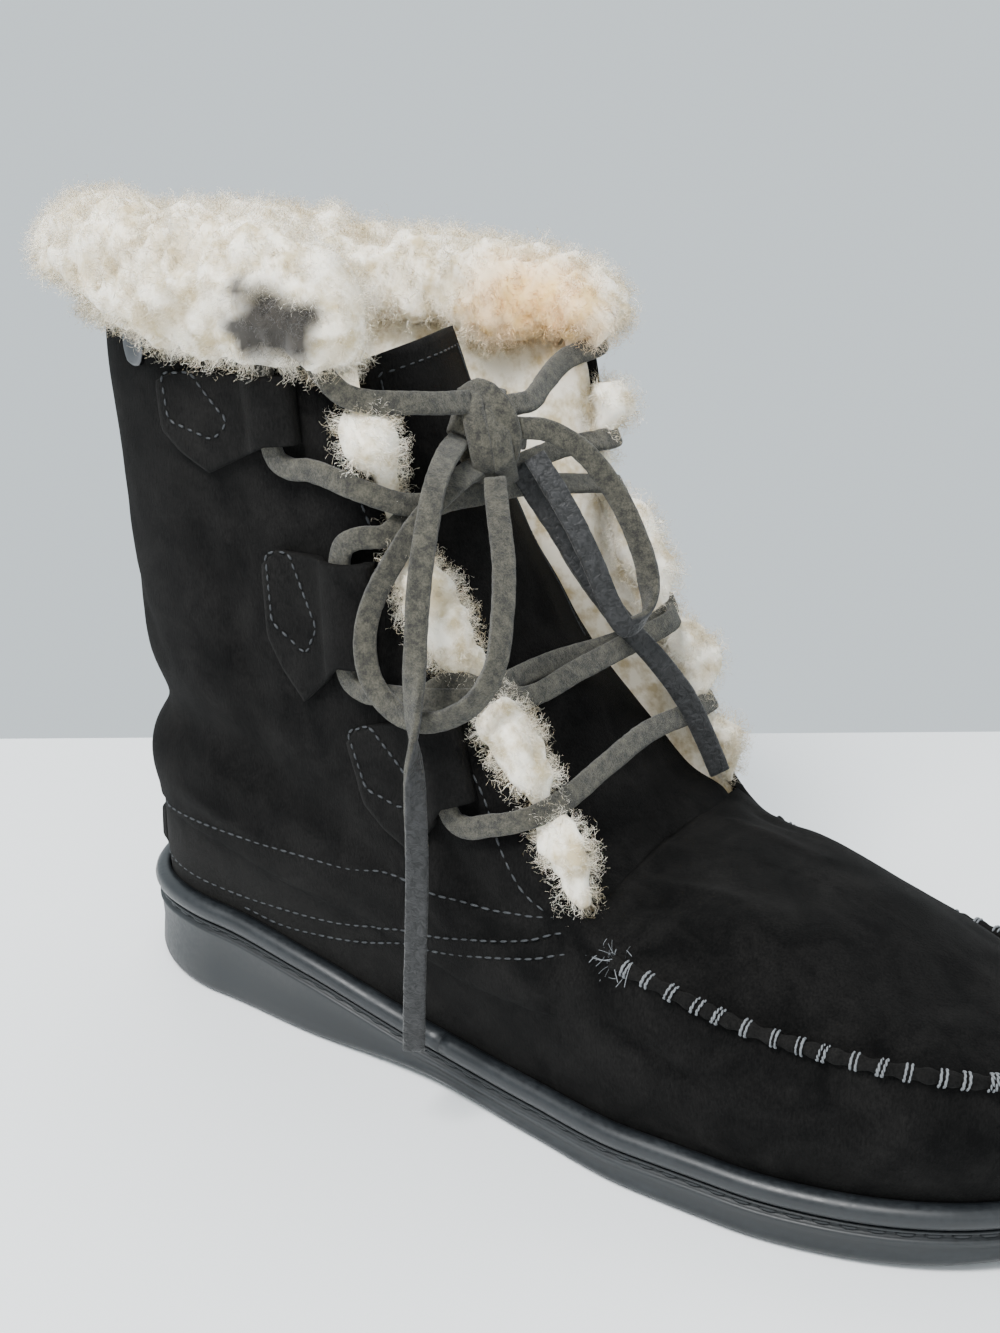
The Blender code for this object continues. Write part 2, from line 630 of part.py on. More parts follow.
def build_welt(boot):
    """The band round the upper's foot: a strip whose two ends butt at the outer side's waist."""
    half = AROUND // 2
    joint = WELT_JOINT_ROW * half / LAST_ROW
    gap = WELT_JOINT / GIRTH * half
    marks = [m for m in range(AROUND + 1) if m > joint + 0.1] + list(range(AROUND + 1, AROUND + half))
    marks = [joint + gap] + [m for m in marks if m < joint + AROUND - 0.1] + [joint + AROUND - gap]
    profile = (
        (WELT_REACH, 0.0),
        (0.0010, 0.0),
        (-0.0008, 0.0016),
        (-0.0006, 0.0042),
        (0.0010, WELT_HEIGHT),
        (WELT_REACH, WELT_HEIGHT),
    )
    rings = []
    for mark in marks:
        place = mark % AROUND
        side = OUTER if place <= half else INNER
        row = LAST_ROW * (place if place <= half else AROUND - place) / half
        x = foot_station(np.array([row]))
        ring = []
        for inset, height in profile:
            px, py, _, _ = sole_edge(x, side, inset)
            ring.append((px[0], py[0], float(seat(px[0])) + CLEARANCE + height))
        rings.append(ring)
    return boot.add("welt", grid_mesh("welt", rings), "rubber")


def build_insole(boot):
    """The footbed inside the upper's wall."""
    inset = WELT_REACH + CLEARANCE + WALL + 3 * CLEARANCE
    rings = [
        sole_ring(inset, lambda x: seat(x) + CLEARANCE),
        sole_ring(inset, lambda x: seat(x) + CLEARANCE + 0.6 * INSOLE_THICKNESS),
        sole_ring(inset + 0.0015, lambda x: seat(x) + CLEARANCE + INSOLE_THICKNESS),
    ]
    return boot.add("insole", grid_mesh("insole", rings, cap="tips"), "wool")


def build_upper(boot):
    """The hollow suede wall, with its apron, from the welt to the collar and the throat's edge."""
    half = AROUND // 2
    rises = np.concatenate([[0.0, 0.98 * RIM_SHARE], steps_between(RIM_SHARE, 1.0, UP)[1:]])
    count = len(rises)
    rings = []
    for j in range(AROUND):
        side = OUTER if j <= half else INNER
        row = LAST_ROW * (j if j <= half else AROUND - j) / half
        rows = np.full(count, row)
        outer, _ = skin(rows, rises, side)
        inner, _ = skin(rows, rises, side, np.full(count, -WALL))
        inner[0, 2] = seat(inner[0, 0]) + CLEARANCE
        rings.append(np.concatenate([outer, inner[::-1]]))
    return boot.add("upper", grid_mesh("upper", rings, closed=True), "suede")


def shifted_place(x, z, side):
    """Return a place of the outer side's view, moved as the shaft's twist and tilt move it on a side."""
    if side == OUTER:
        return np.array([x, z])
    climbed = (z - INSTEP_HEIGHT) / (SHAFT_HEIGHT - INSTEP_HEIGHT)
    return np.array([x + 1.9 * SHAFT_TWIST * climbed, z - 2.0 * SHAFT_TILT * climbed])


class SideMap:
    """Finds where points of the side view lie on the upper's skin."""

    def __init__(self, side):
        self.side = side
        self.rows, self.rises = np.meshgrid(
            steps_between(0.2, 7.4, 145), steps_between(RIM_SHARE, 1.0, 96), indexing="ij")
        points, _ = skin(self.rows, self.rises, side)
        self.x = points[..., 0].ravel()
        self.z = points[..., 2].ravel()

    def find(self, x, z):
        """Return the section rows and the rise shares of the skin at each x and z."""
        nearest = [np.argmin((self.x - u) ** 2 + (self.z - v) ** 2) for u, v in zip(x, z)]
        row = self.rows.ravel()[nearest]
        rise = self.rises.ravel()[nearest]
        for _ in range(5):
            here = skin(row, rise, self.side)[0]
            by_row = (skin(row + 0.01, rise, self.side)[0] - here) / 0.01
            by_rise = (here - skin(row, rise - 0.005, self.side)[0]) / 0.005
            miss_x = x - here[:, 0]
            miss_z = z - here[:, 2]
            scale = by_row[:, 0] * by_rise[:, 2] - by_rise[:, 0] * by_row[:, 2]
            row_step = (miss_x * by_rise[:, 2] - by_rise[:, 0] * miss_z) / scale
            rise_step = (by_row[:, 0] * miss_z - miss_x * by_row[:, 2]) / scale
            row = np.clip(row + row_step, 0.05, 7.6)
            rise = np.clip(rise + rise_step, RIM_SHARE, 1.0)
        return row, rise

    def place(self, x, z, height):
        """Return the points at heights over the skin at each x and z, and the normals there."""
        row, rise = self.find(np.asarray(x, dtype=float), np.asarray(z, dtype=float))
        here, normal = skin(row, rise, self.side)
        return here + normal * np.asarray(height, dtype=float)[:, None], normal


class Tab:
    """A lace tab: a suede loop sewn to the quarter, with a tunnel for the lace."""

    def __init__(self, side_map, foot_x, foot_z, head_x, head_z, reach):
        self.side_map = side_map
        self.foot = shifted_place(foot_x * LENGTH, foot_z * SHAFT_HEIGHT, side_map.side)
        self.head = shifted_place(head_x * LENGTH, head_z * SHAFT_HEIGHT, side_map.side)
        self.reach = reach * MM
        line = self.head - self.foot
        self.length = float(np.linalg.norm(line))
        self.up = line / self.length
        self.back = np.array([-self.up[1], self.up[0]])

    def place(self, spots):
        """Return points and normals for spots, each a share of the line, a way behind it, a height."""
        share, behind, height = np.array(spots, dtype=float).T
        x = self.foot[0] + self.up[0] * self.length * share + self.back[0] * behind
        z = self.foot[1] + self.up[1] * self.length * share + self.back[1] * behind
        return self.side_map.place(x, z, height)

    def section(self, front_share, back_share, reach_share):
        """Return the tab's section across the tunnel, over the outside and back along the skin."""
        half = 0.5 * TUNNEL_WIDTH
        crown = TAB_GAP + TUNNEL_HEIGHT
        leather = TAB_LEATHER
        reach = self.reach * reach_share
        outer = (
            (-half - leather, TAB_GAP),
            (-half - 0.8 * leather, 0.62 * crown + leather),
            (-0.5 * half, crown + 0.9 * leather),
            (0.1 * half, crown + leather),
            (0.62 * half, 0.82 * crown + leather),
            (1.05 * half, 0.36 * crown + leather),
            (1.5 * half, TAB_GAP + leather),
            (reach, TAB_GAP + 0.8 * leather),
        )
        inner = (
            (reach, TAB_GAP),
            (1.45 * half, TAB_GAP),
            (half, TAB_GAP + 0.2 * leather),
            (0.6 * half, 0.74 * crown),
            (0.1 * half, crown),
            (-0.5 * half, 0.94 * crown),
            (-0.85 * half, 0.55 * crown),
            (-0.9 * half, TAB_GAP),
        )
        slope = (back_share - front_share) / reach
        return [
            (front_share + slope * max(behind, 0.0), behind, height)
            for behind, height in (*outer, *inner)]

    def build(self, boot, name):
        """Add the tab to the boot."""
        spots = [spot for outline in TAB_OUTLINE for spot in self.section(*outline)]
        points, _ = self.place(spots)
        rings = points.reshape(len(TAB_OUTLINE), -1, 3)
        return boot.add(name, grid_mesh(name, rings), "suede")

    def lace_points(self, start):
        """Return the lace's points and normals from a tunnel's end, named by start, to its other end."""
        height = TAB_GAP + 0.42 * TUNNEL_HEIGHT
        past = [(MM * way / self.length, -MM * front) for way, front in TURN]
        spots = [(-share, front, height) for share, front in past[::-1]]
        spots += [(0.5, 0.0, height)]
        spots += [(1.0 + share, front, height) for share, front in past]
        points, normals = self.place(spots)
        pairs = list(zip(points, normals))
        return pairs if start == "foot" else pairs[::-1]


def build_tongue(boot):
    """The apron's leather carried on up the instep, arched across."""
    table = [(i, *values) for i, values in enumerate(TONGUE)]
    rows = steps_between(0.0, len(TONGUE) - 1, 13)
    x = LENGTH * through(table, 1, rows)
    z = INSTEP_HEIGHT + (SHAFT_HEIGHT - INSTEP_HEIGHT) * through(table, 2, rows)
    widths = BALL_WIDTH * through(table, 3, rows)
    arches = MM * through(table, 4, rows)
    run = np.gradient(x)
    rise = np.gradient(z)
    length = np.hypot(run, rise)
    across = steps_between(-1.0, 1.0, 7)
    rings = []
    for i in range(len(rows)):
        normal = np.array([rise[i], 0.0, -run[i]]) / length[i]
        outer = []
        inner = []
        for share in across:
            point = np.array([x[i], share * widths[i], z[i]]) - normal * arches[i] * share**2
            outer.append(point)
            inner.append(point - normal * TONGUE_THICKNESS * (1 - 0.45 * share**4))
        rings.append(outer + inner[::-1])
    return boot.add("tongue", grid_mesh("tongue", rings), "suede")


def build_moc_seam(boot):
    """The raised seam round the apron, from one throat corner round the toe to the other."""
    lift = SEAM_RADIUS + TAB_GAP
    middle = 0.5 * (1 + RIM_SHARE)
    points = []
    for side, rows in (
        (OUTER, steps_between(APRON_ROW + 0.1, LAST_ROW, 14)),
        (INNER, steps_between(LAST_ROW, APRON_ROW + 0.1, 14)[1:]),
    ):
        for row in rows:
            ridge, _ = skin(row, middle, side)
            away = skin(row, middle - 0.06, side)[1] + skin(row, middle + 0.06, side)[1]
            points.append(ridge + away / np.linalg.norm(away) * lift)
    return add_tube(boot, "moc_seam", points, SEAM_RADIUS, "suede", resolution=1)


def add_tube(boot, name, points, radius, material, resolution=2):
    """Add a round tube along points, as a curve with filled ends."""
    curve = bpy.data.curves.new(name, "CURVE")
    curve.dimensions = "3D"
    curve.bevel_depth = radius
    curve.bevel_resolution = resolution
    curve.use_fill_caps = True
    spline = curve.splines.new("POLY")
    spline.points.add(len(points) - 1)
    for point, place in zip(spline.points, points):
        point.co = (*place, 1.0)
    return boot.add(name, curve, material)


def build_heel_counter(boot):
    """The overlay round the back of the heel, over the welt."""
    rings = []
    rises = steps_between(*COUNTER_RISE, 4)
    thickness = COUNTER_THICKNESS * np.array([1.0, 1.1, 1.1, 0.8])
    for signed in steps_between(-COUNTER_ROW, COUNTER_ROW, 8):
        side = OUTER if signed >= 0 else INNER
        rows = np.full(4, abs(signed))
        outer, _ = skin(rows, rises, side, 1.5 * CLEARANCE + thickness)
        inner, _ = skin(rows, rises, side, np.full(4, 1.5 * CLEARANCE))
        rings.append(np.concatenate([outer, inner[::-1]]))
    return boot.add("heel_counter", grid_mesh("heel_counter", rings), "suede")


def build_badge(boot, side_map):
    """The small plain metal plate near the collar, at the back of the outer side."""
    centre_x, centre_z = 0.105 * LENGTH, 0.940 * SHAFT_HEIGHT
    low = TAB_GAP
    high = TAB_GAP + BADGE_THICKNESS
    rings = []
    for share, width in ((-0.5, 0.55), (-0.42, 0.9), (0.0, 1.0), (0.42, 1.0), (0.5, 0.85)):
        across = steps_between(-0.4, 0.4, 5) * BADGE_WIDTH * width
        x = centre_x + np.concatenate([across, across[::-1]])
        z = np.full(10, centre_z + share * BADGE_HEIGHT)
        points, _ = side_map.place(x, z, np.repeat([high, low], 5))
        rings.append(points)
    return boot.add("badge", grid_mesh("badge", rings), "metal")


def cuff_section(turn, rise_share, reach_share):
    """Return the cuff's section at a share of its course: ways outward and up from the collar's edge."""
    notch = TAB_GAP + CLEARANCE
    section = [(notch, -0.001)]
    for i, (reach, rise, locks) in enumerate(CUFF_SECTION):
        around = i / len(CUFF_SECTION)
        waves = sum(
            size * math.sin(2 * math.pi * (along * turn + across * around) + phase)
            for along, across, phase, size in LOCKS)
        swell = 1 + 0.055 * waves * locks
        span = CUFF_REACH if reach > 0 else CUFF_INNER_REACH
        shift = notch if reach > 0 else -WALL - notch
        section.append((shift + reach * span * reach_share * swell, rise * CUFF_RISE * rise_share * swell))
    return section + [(-WALL - notch, -0.003), (-WALL - notch, notch), (notch, notch)]


def build_cuff(boot):
    """The shearling cuff: it saddles the collar's edge and hangs over it, parted into locks."""
    rings = []
    up = np.array([0.0, 0.0, 1.0])
    for signed in steps_between(-COLLAR_ROW, COLLAR_ROW, CUFF_AROUND):
        side = OUTER if signed >= 0 else INNER
        edge, normal = skin(abs(signed), 1.0, side)
        out = normal * (1, 1, 0)
        out /= np.linalg.norm(out)
        rise_share, reach_share = (float(through(CUFF_COURSE, column, signed)) for column in (1, 2))
        section = cuff_section(0.5 * (signed / COLLAR_ROW + 1), rise_share, reach_share)
        rings.append(np.array([edge + out * across + up * height for across, height in section]))
    for first, order in ((0, -1), (-1, 1)):
        ring = rings[first]
        ahead = ring.mean(axis=0) - rings[1 if first == 0 else -2].mean(axis=0)
        ahead *= (1, 1, 0)
        ahead /= np.linalg.norm(ahead)
        centre = ring[:-3].mean(axis=0)
        extra = [centre + (ring - centre) * scale + ahead * way * MM for way, scale in CUFF_ENDS]
        rings = extra[::-1] + rings if first == 0 else rings + extra
    return boot.add("cuff_fur", grid_mesh("cuff_fur", rings, cap="face"), "wool")


def build_throat_fur(boot, name, side):
    """The wool that comes out along a quarter's front edge, in tufts."""
    count = 25
    rows = steps_between(THROAT_TUFTS[0][0], THROAT_TUFTS[-1][0], count)
    edge, normals = skin(rows, np.ones(count), side)
    radii = MM * through(THROAT_TUFTS, 1, rows)
    sinks = MM * through(THROAT_TUFTS, 2, rows)
    along = np.gradient(edge, axis=0)
    along /= np.linalg.norm(along, axis=1, keepdims=True)
    rings = []
    for i in range(count):
        inward = np.cross(along[i], normals[i])
        inward *= -side * np.sign(inward[1])
        centre = edge[i] + inward * (radii[i] + TAB_GAP) - normals[i] * sinks[i]
        ring = []
        for k in range(7):
            angle = 2 * math.pi * k / 7
            lock = 1 + 0.10 * math.sin(3 * angle + 1.7 * i)
            ring.append(centre + radii[i] * lock * (math.cos(angle) * inward + math.sin(angle) * normals[i]))
        rings.append(ring)
    return boot.add(name, grid_mesh(name, rings), "wool")


def lace_course(tabs):
    """Return the points and normals of the lace from the knot through all tabs and back."""
    places = []
    for start, _, way in BARS:
        if start is not None:
            side, number, end = start
            other = "head" if end == "foot" else "foot"
            places += tabs[side, number].lace_points(other)
        for x, y, z in way:
            normal = np.array([0.82, 2.4 * y, 0.5])
            point = np.array([x * LENGTH, y * BALL_WIDTH, z * SHAFT_HEIGHT])
            places.append((point, normal / np.linalg.norm(normal)))
    return places


def ribbon_mesh(name, places, width, thickness, step):
    """Return a mesh of a thong through places, with its flat side along their normals."""
    points = np.array([p for p, _ in places])
    normals = np.array([n for _, n in places])
    knots = np.concatenate([[0.0], np.cumsum(np.linalg.norm(np.diff(points, axis=0), axis=1))])
    at = steps_between(0.0, knots[-1], int(knots[-1] / step))
    line = np.stack([flowing(knots, points[:, k], at) for k in range(3)], axis=1)
    face = np.stack([np.interp(at, knots, normals[:, k]) for k in range(3)], axis=1)
    along = np.gradient(line, axis=0)
    along /= np.linalg.norm(along, axis=1, keepdims=True)
    across = np.cross(along, face)
    across /= np.linalg.norm(across, axis=1, keepdims=True)
    face = np.cross(across, along)
    half = 0.5 * width * across
    thick = 0.5 * thickness * face
    rings = np.stack([line - half - thick, line + half - thick, line + half + thick, line - half + thick], 1)
    return grid_mesh(name, rings)


def build_lace(boot, tabs):
    """The lace through the tabs and over the throat; return the wider one that makes room in the wool."""
    places = lace_course(tabs)
    boot.add("lace_crossings", ribbon_mesh("lace_crossings", places, LACE_WIDTH, LACE_THICKNESS, LACE_STEP), "lace")
    room = 3 * CLEARANCE
    mesh = ribbon_mesh("lace_room", places, LACE_WIDTH + room, LACE_THICKNESS + room, LACE_STEP)
    cutter = bpy.data.objects.new("lace_room", mesh)
    cutter.hide_render = True
    cutter.display_type = "WIRE"
    cutter.parent = boot.frame
    boot.cutters.objects.link(cutter)
    return cutter


def press_into(piece, cutter):
    """Cut the room of a cutter into a piece of wool."""
    cut = piece.modifiers.new("lace_room", "BOOLEAN")
    cut.operation = "DIFFERENCE"
    cut.solver = "EXACT"
    cut.use_self = True
    cut.object = cutter


def flowing(knots, values, at):
    """Return a smooth curve through values at knots, at the places given."""
    slopes = np.diff(values) / np.diff(knots)
    tangents = np.concatenate([[slopes[0]], 0.5 * (slopes[:-1] + slopes[1:]), [slopes[-1]]])
    i = np.clip(np.searchsorted(knots, at) - 1, 0, len(knots) - 2)
    width = knots[i + 1] - knots[i]
    t = (at - knots[i]) / width
    return cubic(values[i], width * tangents[i], values[i + 1], width * tangents[i + 1], t)


def build_cords(boot):
    """The bow: its knot, loops and ends, each a tube along its own route."""
    for name, route in CORD_ROUTES.items():
        points = MM * np.array(route)
        knots = np.concatenate([[0.0], np.cumsum(np.linalg.norm(np.diff(points, axis=0), axis=1))])
        count = max(6, int(knots[-1] / (2.2 * CORD_DIAMETER)) + 1)
        at = steps_between(0.0, knots[-1], count)
        line = np.stack([flowing(knots, points[:, k], at) for k in range(3)], axis=1)
        add_tube(boot, name, line, 0.5 * CORD_DIAMETER, "lace")


def reset_scene():
    """Remove what the scene holds."""
    for item in list(bpy.data.objects):
        bpy.data.objects.remove(item, do_unlink=True)


def main():
    """Build the boot."""
    reset_scene()
    boot = Boot()
    build_outsole(boot)
    build_welt(boot)
    build_insole(boot)
    build_upper(boot)
    build_tongue(boot)
    build_moc_seam(boot)
    build_heel_counter(boot)
    maps = {OUTER: SideMap(OUTER), INNER: SideMap(INNER)}
    tabs = {}
    for side, word in ((OUTER, "lateral"), (INNER, "medial")):
        for number, row in enumerate(TABS, start=1):
            tabs[side, number] = Tab(maps[side], *row)
            tabs[side, number].build(boot, f"lace_tab_{word}_{number}")
    room = build_lace(boot, tabs)
    for side, word in ((OUTER, "lateral"), (INNER, "medial")):
        press_into(build_throat_fur(boot, f"throat_fur_{word}", side), room)
    press_into(build_cuff(boot), room)
    build_badge(boot, maps[OUTER])
    build_cords(boot)
    boot.centre(left_out=CORD_ROUTES)


main()
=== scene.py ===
"""Looks of the mukluk boot: suede upper, curly shearling, thong laces and a moulded rubber sole.

The boot's own sizes are those of the CAD part: heel back at x = 0, toe along +X, outer side along -Y
and the floor at z = 0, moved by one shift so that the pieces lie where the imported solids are.
"""

import json
import logging
import math
from collections.abc import Callable, Sequence
from dataclasses import dataclass, field
from enum import Enum

import bmesh
import bpy
import numpy as np
from mathutils import Matrix, Vector

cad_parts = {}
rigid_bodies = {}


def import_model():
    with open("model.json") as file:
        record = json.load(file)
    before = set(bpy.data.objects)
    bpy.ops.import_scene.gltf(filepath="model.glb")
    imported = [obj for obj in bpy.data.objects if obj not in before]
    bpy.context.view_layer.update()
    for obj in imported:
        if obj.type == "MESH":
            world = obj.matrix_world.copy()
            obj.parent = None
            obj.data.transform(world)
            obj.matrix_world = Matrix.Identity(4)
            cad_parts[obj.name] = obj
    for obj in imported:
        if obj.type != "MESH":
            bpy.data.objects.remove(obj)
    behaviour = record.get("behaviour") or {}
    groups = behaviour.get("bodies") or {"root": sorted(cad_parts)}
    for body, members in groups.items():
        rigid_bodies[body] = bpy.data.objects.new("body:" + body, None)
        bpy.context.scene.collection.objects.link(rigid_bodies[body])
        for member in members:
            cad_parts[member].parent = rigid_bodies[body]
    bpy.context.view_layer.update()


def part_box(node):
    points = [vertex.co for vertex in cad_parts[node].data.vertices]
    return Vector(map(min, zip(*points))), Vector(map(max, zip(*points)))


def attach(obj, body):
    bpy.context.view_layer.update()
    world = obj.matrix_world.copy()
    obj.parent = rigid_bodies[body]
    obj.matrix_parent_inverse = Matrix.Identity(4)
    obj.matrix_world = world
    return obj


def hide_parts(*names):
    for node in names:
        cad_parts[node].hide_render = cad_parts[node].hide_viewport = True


MM = 0.001
LOG = logging.getLogger("mukluk_boot")
Values = float | np.ndarray


class Side(Enum):
    """The two sides of the boot, with the sign of their half widths along Y."""

    OUTER = -1
    INNER = 1

    @property
    def word(self) -> str:
        """Return the side's word in the names of pieces and nodes."""
        return "lateral" if self is Side.OUTER else "medial"


def linear(colour: str) -> tuple[float, float, float, float]:
    """Turn an sRGB hex colour to linear light.

    Args:
        colour: Six hex digits with a leading hash.

    Returns:
        Red, green, blue and alpha as a shader socket takes them.
    """
    values = [int(colour[i:i + 2], 16) / 255 for i in (1, 3, 5)]
    light = [v / 12.92 if v <= 0.04045 else ((v + 0.055) / 1.055) ** 2.4 for v in values]
    return (*light, 1.0)


def node(tree: bpy.types.NodeTree, kind: str, links: dict | None = None, inputs: dict | None = None,
         **settings) -> bpy.types.Node:
    """Add a node with its settings, its values and its links.

    Args:
        tree: The tree that gets the node.
        kind: Blender's name of the node's type.
        links: Input name or number to the socket that feeds it.
        inputs: Input name or number to its value.
        **settings: The node's own settings.

    Returns:
        The node.
    """
    item = tree.nodes.new(kind)
    for name, value in settings.items():
        setattr(item, name, value)
    for name, value in (inputs or {}).items():
        item.inputs[name].default_value = value
    for name, socket in (links or {}).items():
        tree.links.new(socket, item.inputs[name])
    return item


def blank_material(name: str, values: dict) -> tuple[bpy.types.Material, bpy.types.NodeTree, bpy.types.Node]:
    """Start a material with a Principled BSDF.

    Args:
        name: The material's name.
        values: Input name of the shader to its value.

    Returns:
        The material, its tree and its shader node.
    """
    material = bpy.data.materials.new(name)
    material.use_nodes = True
    shader = material.node_tree.nodes["Principled BSDF"]
    for key, value in values.items():
        shader.inputs[key].default_value = value
    return material, material.node_tree, shader


def object_place(tree: bpy.types.NodeTree) -> bpy.types.NodeSocket:
    """Return the socket with the object's own coordinates."""
    return node(tree, "ShaderNodeTexCoord").outputs["Object"]


def marking(tree: bpy.types.NodeTree, name: str) -> bpy.types.NodeSocket:
    """Return the socket with the mesh's attribute of that name."""
    return node(tree, "ShaderNodeAttribute", attribute_name=name).outputs["Fac"]


def grain(tree: bpy.types.NodeTree, place: bpy.types.NodeSocket, size_mm: float, detail: float,
          roughness: float = 0.5, distortion: float = 0.0) -> bpy.types.NodeSocket:
    """Add a noise texture.

    Args:
        tree: The material's tree.
        place: The coordinates.
        size_mm: The coarsest lumps' size in millimetres.
        detail: How many finer octaves it has.
        roughness: How strong they are.
        distortion: How far it is warped.

    Returns:
        The socket with its value.
    """
    noise = node(tree, "ShaderNodeTexNoise", {"Vector": place}, {
        "Scale": 1 / (MM * size_mm), "Detail": detail, "Roughness": roughness, "Distortion": distortion})
    return noise.outputs[0]


def product(tree: bpy.types.NodeTree, first: bpy.types.NodeSocket,
            second: bpy.types.NodeSocket) -> bpy.types.NodeSocket:
    """Return the socket with the product of two values."""
    return node(tree, "ShaderNodeMath", {0: first, 1: second}, operation="MULTIPLY").outputs[0]


def two_tones(tree: bpy.types.NodeTree, factor: bpy.types.NodeSocket, stops: tuple[float, float],
              tones: tuple[str, str]) -> bpy.types.NodeSocket:
    """Turn a value to a colour between two tones.

    Args:
        tree: The material's tree.
        factor: The value.
        stops: Where the first tone ends and the second starts.
        tones: The tones as hex colours.

    Returns:
        The socket with the colour.
    """
    scale = node(tree, "ShaderNodeValToRGB", {"Fac": factor})
    for element, stop, tone in zip(scale.color_ramp.elements, stops, tones):
        element.position = stop
        element.color = linear(tone)
    return scale.outputs[0]


def toned(tree: bpy.types.NodeTree, factor: bpy.types.NodeSocket, under: bpy.types.NodeSocket,
          over: str) -> bpy.types.NodeSocket:
    """Return the socket with a colour that goes over to a tone where the factor is 1."""
    return node(tree, "ShaderNodeMix", {0: factor, 6: under}, {7: linear(over)}, data_type="RGBA").outputs[2]


def raise_grain(tree: bpy.types.NodeTree, shader: bpy.types.Node, height: bpy.types.NodeSocket,
                strength: float, depth_mm: float) -> None:
    """Add a bump of a strength and a depth in millimetres under the shader."""
    bump = node(tree, "ShaderNodeBump", {"Height": height}, {"Strength": strength, "Distance": MM * depth_mm})
    tree.links.new(bump.outputs[0], shader.inputs["Normal"])


@dataclass(frozen=True)
class Suede:
    """Napped split leather: a soft nap lies in patches, so the colour shifts with the way it was
    brushed, and it is matt with a faint sheen at grazing angles."""

    name: str = "napped_suede"
    dark: str = "#010101"
    light: str = "#1b1a19"
    scuffed: str = "#2b2a29"
    sheen: str = "#a09c96"
    nap_mm: float = 0.55
    nap_depth_mm: float = 0.5
    nap_stretch: tuple = (1.0, 1.0, 0.45)
    patch_mm: float = 14.0
    stops: tuple = (0.17, 0.46)

    def build(self) -> bpy.types.Material:
        """Return the material; the attribute wear whitens it where it is rubbed."""
        material, tree, shader = blank_material(self.name, {
            "Roughness": 0.88, "Sheen Weight": 0.025, "Sheen Roughness": 0.45,
            "Sheen Tint": linear(self.sheen),
            "Specular IOR Level": 0.10})
        place = object_place(tree)
        patch = grain(tree, place, self.patch_mm, 4.0, 0.62, 0.6)
        streak = node(tree, "ShaderNodeMapping", {"Vector": place}, {"Scale": self.nap_stretch}).outputs[0]
        nap = grain(tree, streak, self.nap_mm, 6.0, 0.72)
        colour = two_tones(tree, product(tree, patch, nap), self.stops, (self.dark, self.light))
        worn = product(tree, marking(tree, "wear"), nap)
        tree.links.new(toned(tree, worn, colour, self.scuffed), shader.inputs["Base Color"])
        raise_grain(tree, shader, nap, 0.9, self.nap_depth_mm)
        return material


@dataclass(frozen=True)
class Wool:
    """Sheepskin wool: cream, with painted shade deep between the locks and painted warm bounce light by the
    tongue's top, so it is soft and has some light under its surface."""

    name: str = "shearling_wool"
    pale: str = "#fbf4e4"
    # The deep tone serves both as the wool's random darker tone and as the painted shade between the locks.
    deep: str = "#c7b793"
    warm: str = "#f6c470"
    hide: str = "#3b3732"
    lump_mm: float = 6.0
    stops: tuple = (0.36, 0.56)
    glow: float = 0.12
    glow_reach: tuple = (0.004, 0.003, 0.002)

    def build(self) -> bpy.types.Material:
        """Return the material; its point attributes paint shade deep between the locks, paint warm bounce
        light or bare the hide.
        """
        material, tree, shader = blank_material(self.name, {
            "Roughness": 0.82, "Sheen Weight": 0.25, "Sheen Roughness": 0.5, "Subsurface Weight": self.glow,
            "Subsurface Radius": self.glow_reach, "Subsurface Scale": 1.0, "Specular IOR Level": 0.25})
        lumps = grain(tree, object_place(tree), self.lump_mm, 5.0, 0.6)
        colour = two_tones(tree, lumps, self.stops, (self.deep, self.pale))
        # Painted shade deep between the locks, painted warm bounce light by the tongue's top, then the bare
        # hide where the wool is worn thin.
        for name, tone in (("painted_crevice_shade", self.deep), ("peach", self.warm), ("bare", self.hide)):
            colour = toned(tree, marking(tree, name), colour, tone)
        tree.links.new(colour, shader.inputs["Base Color"])
        return material


@dataclass(frozen=True)
class Rubber:
    """Moulded rubber: satin, with a fine matt grain from the mould and a dusting where it is rubbed."""

    name: str = "sole_rubber"
    base: str = "#15181a"
    dust: str = "#272b2e"
    roughness: float = 0.52
    patch_mm: float = 22.0
    speck_mm: float = 1.4
    stops: tuple = (0.18, 0.50)
    grain_mm: float = 0.35
    grain_depth_mm: float = 0.1

    def build(self) -> bpy.types.Material:
        """Return the material."""
        material, tree, shader = blank_material(self.name, {})
        place = object_place(tree)
        patches = grain(tree, place, self.patch_mm, 5.0, 0.65)
        both = product(tree, patches, grain(tree, place, self.speck_mm, 3.0, 0.6))
        colour = two_tones(tree, both, self.stops, (self.base, self.dust))
        tree.links.new(colour, shader.inputs["Base Color"])
        rough = node(tree, "ShaderNodeMapRange", {"Value": both}, {
            "From Min": 0.15, "From Max": 0.45,
            "To Min": self.roughness - 0.08, "To Max": self.roughness + 0.14})
        tree.links.new(rough.outputs[0], shader.inputs["Roughness"])
        raise_grain(tree, shader, grain(tree, place, self.grain_mm, 2.0), 0.12, self.grain_depth_mm)
        return material


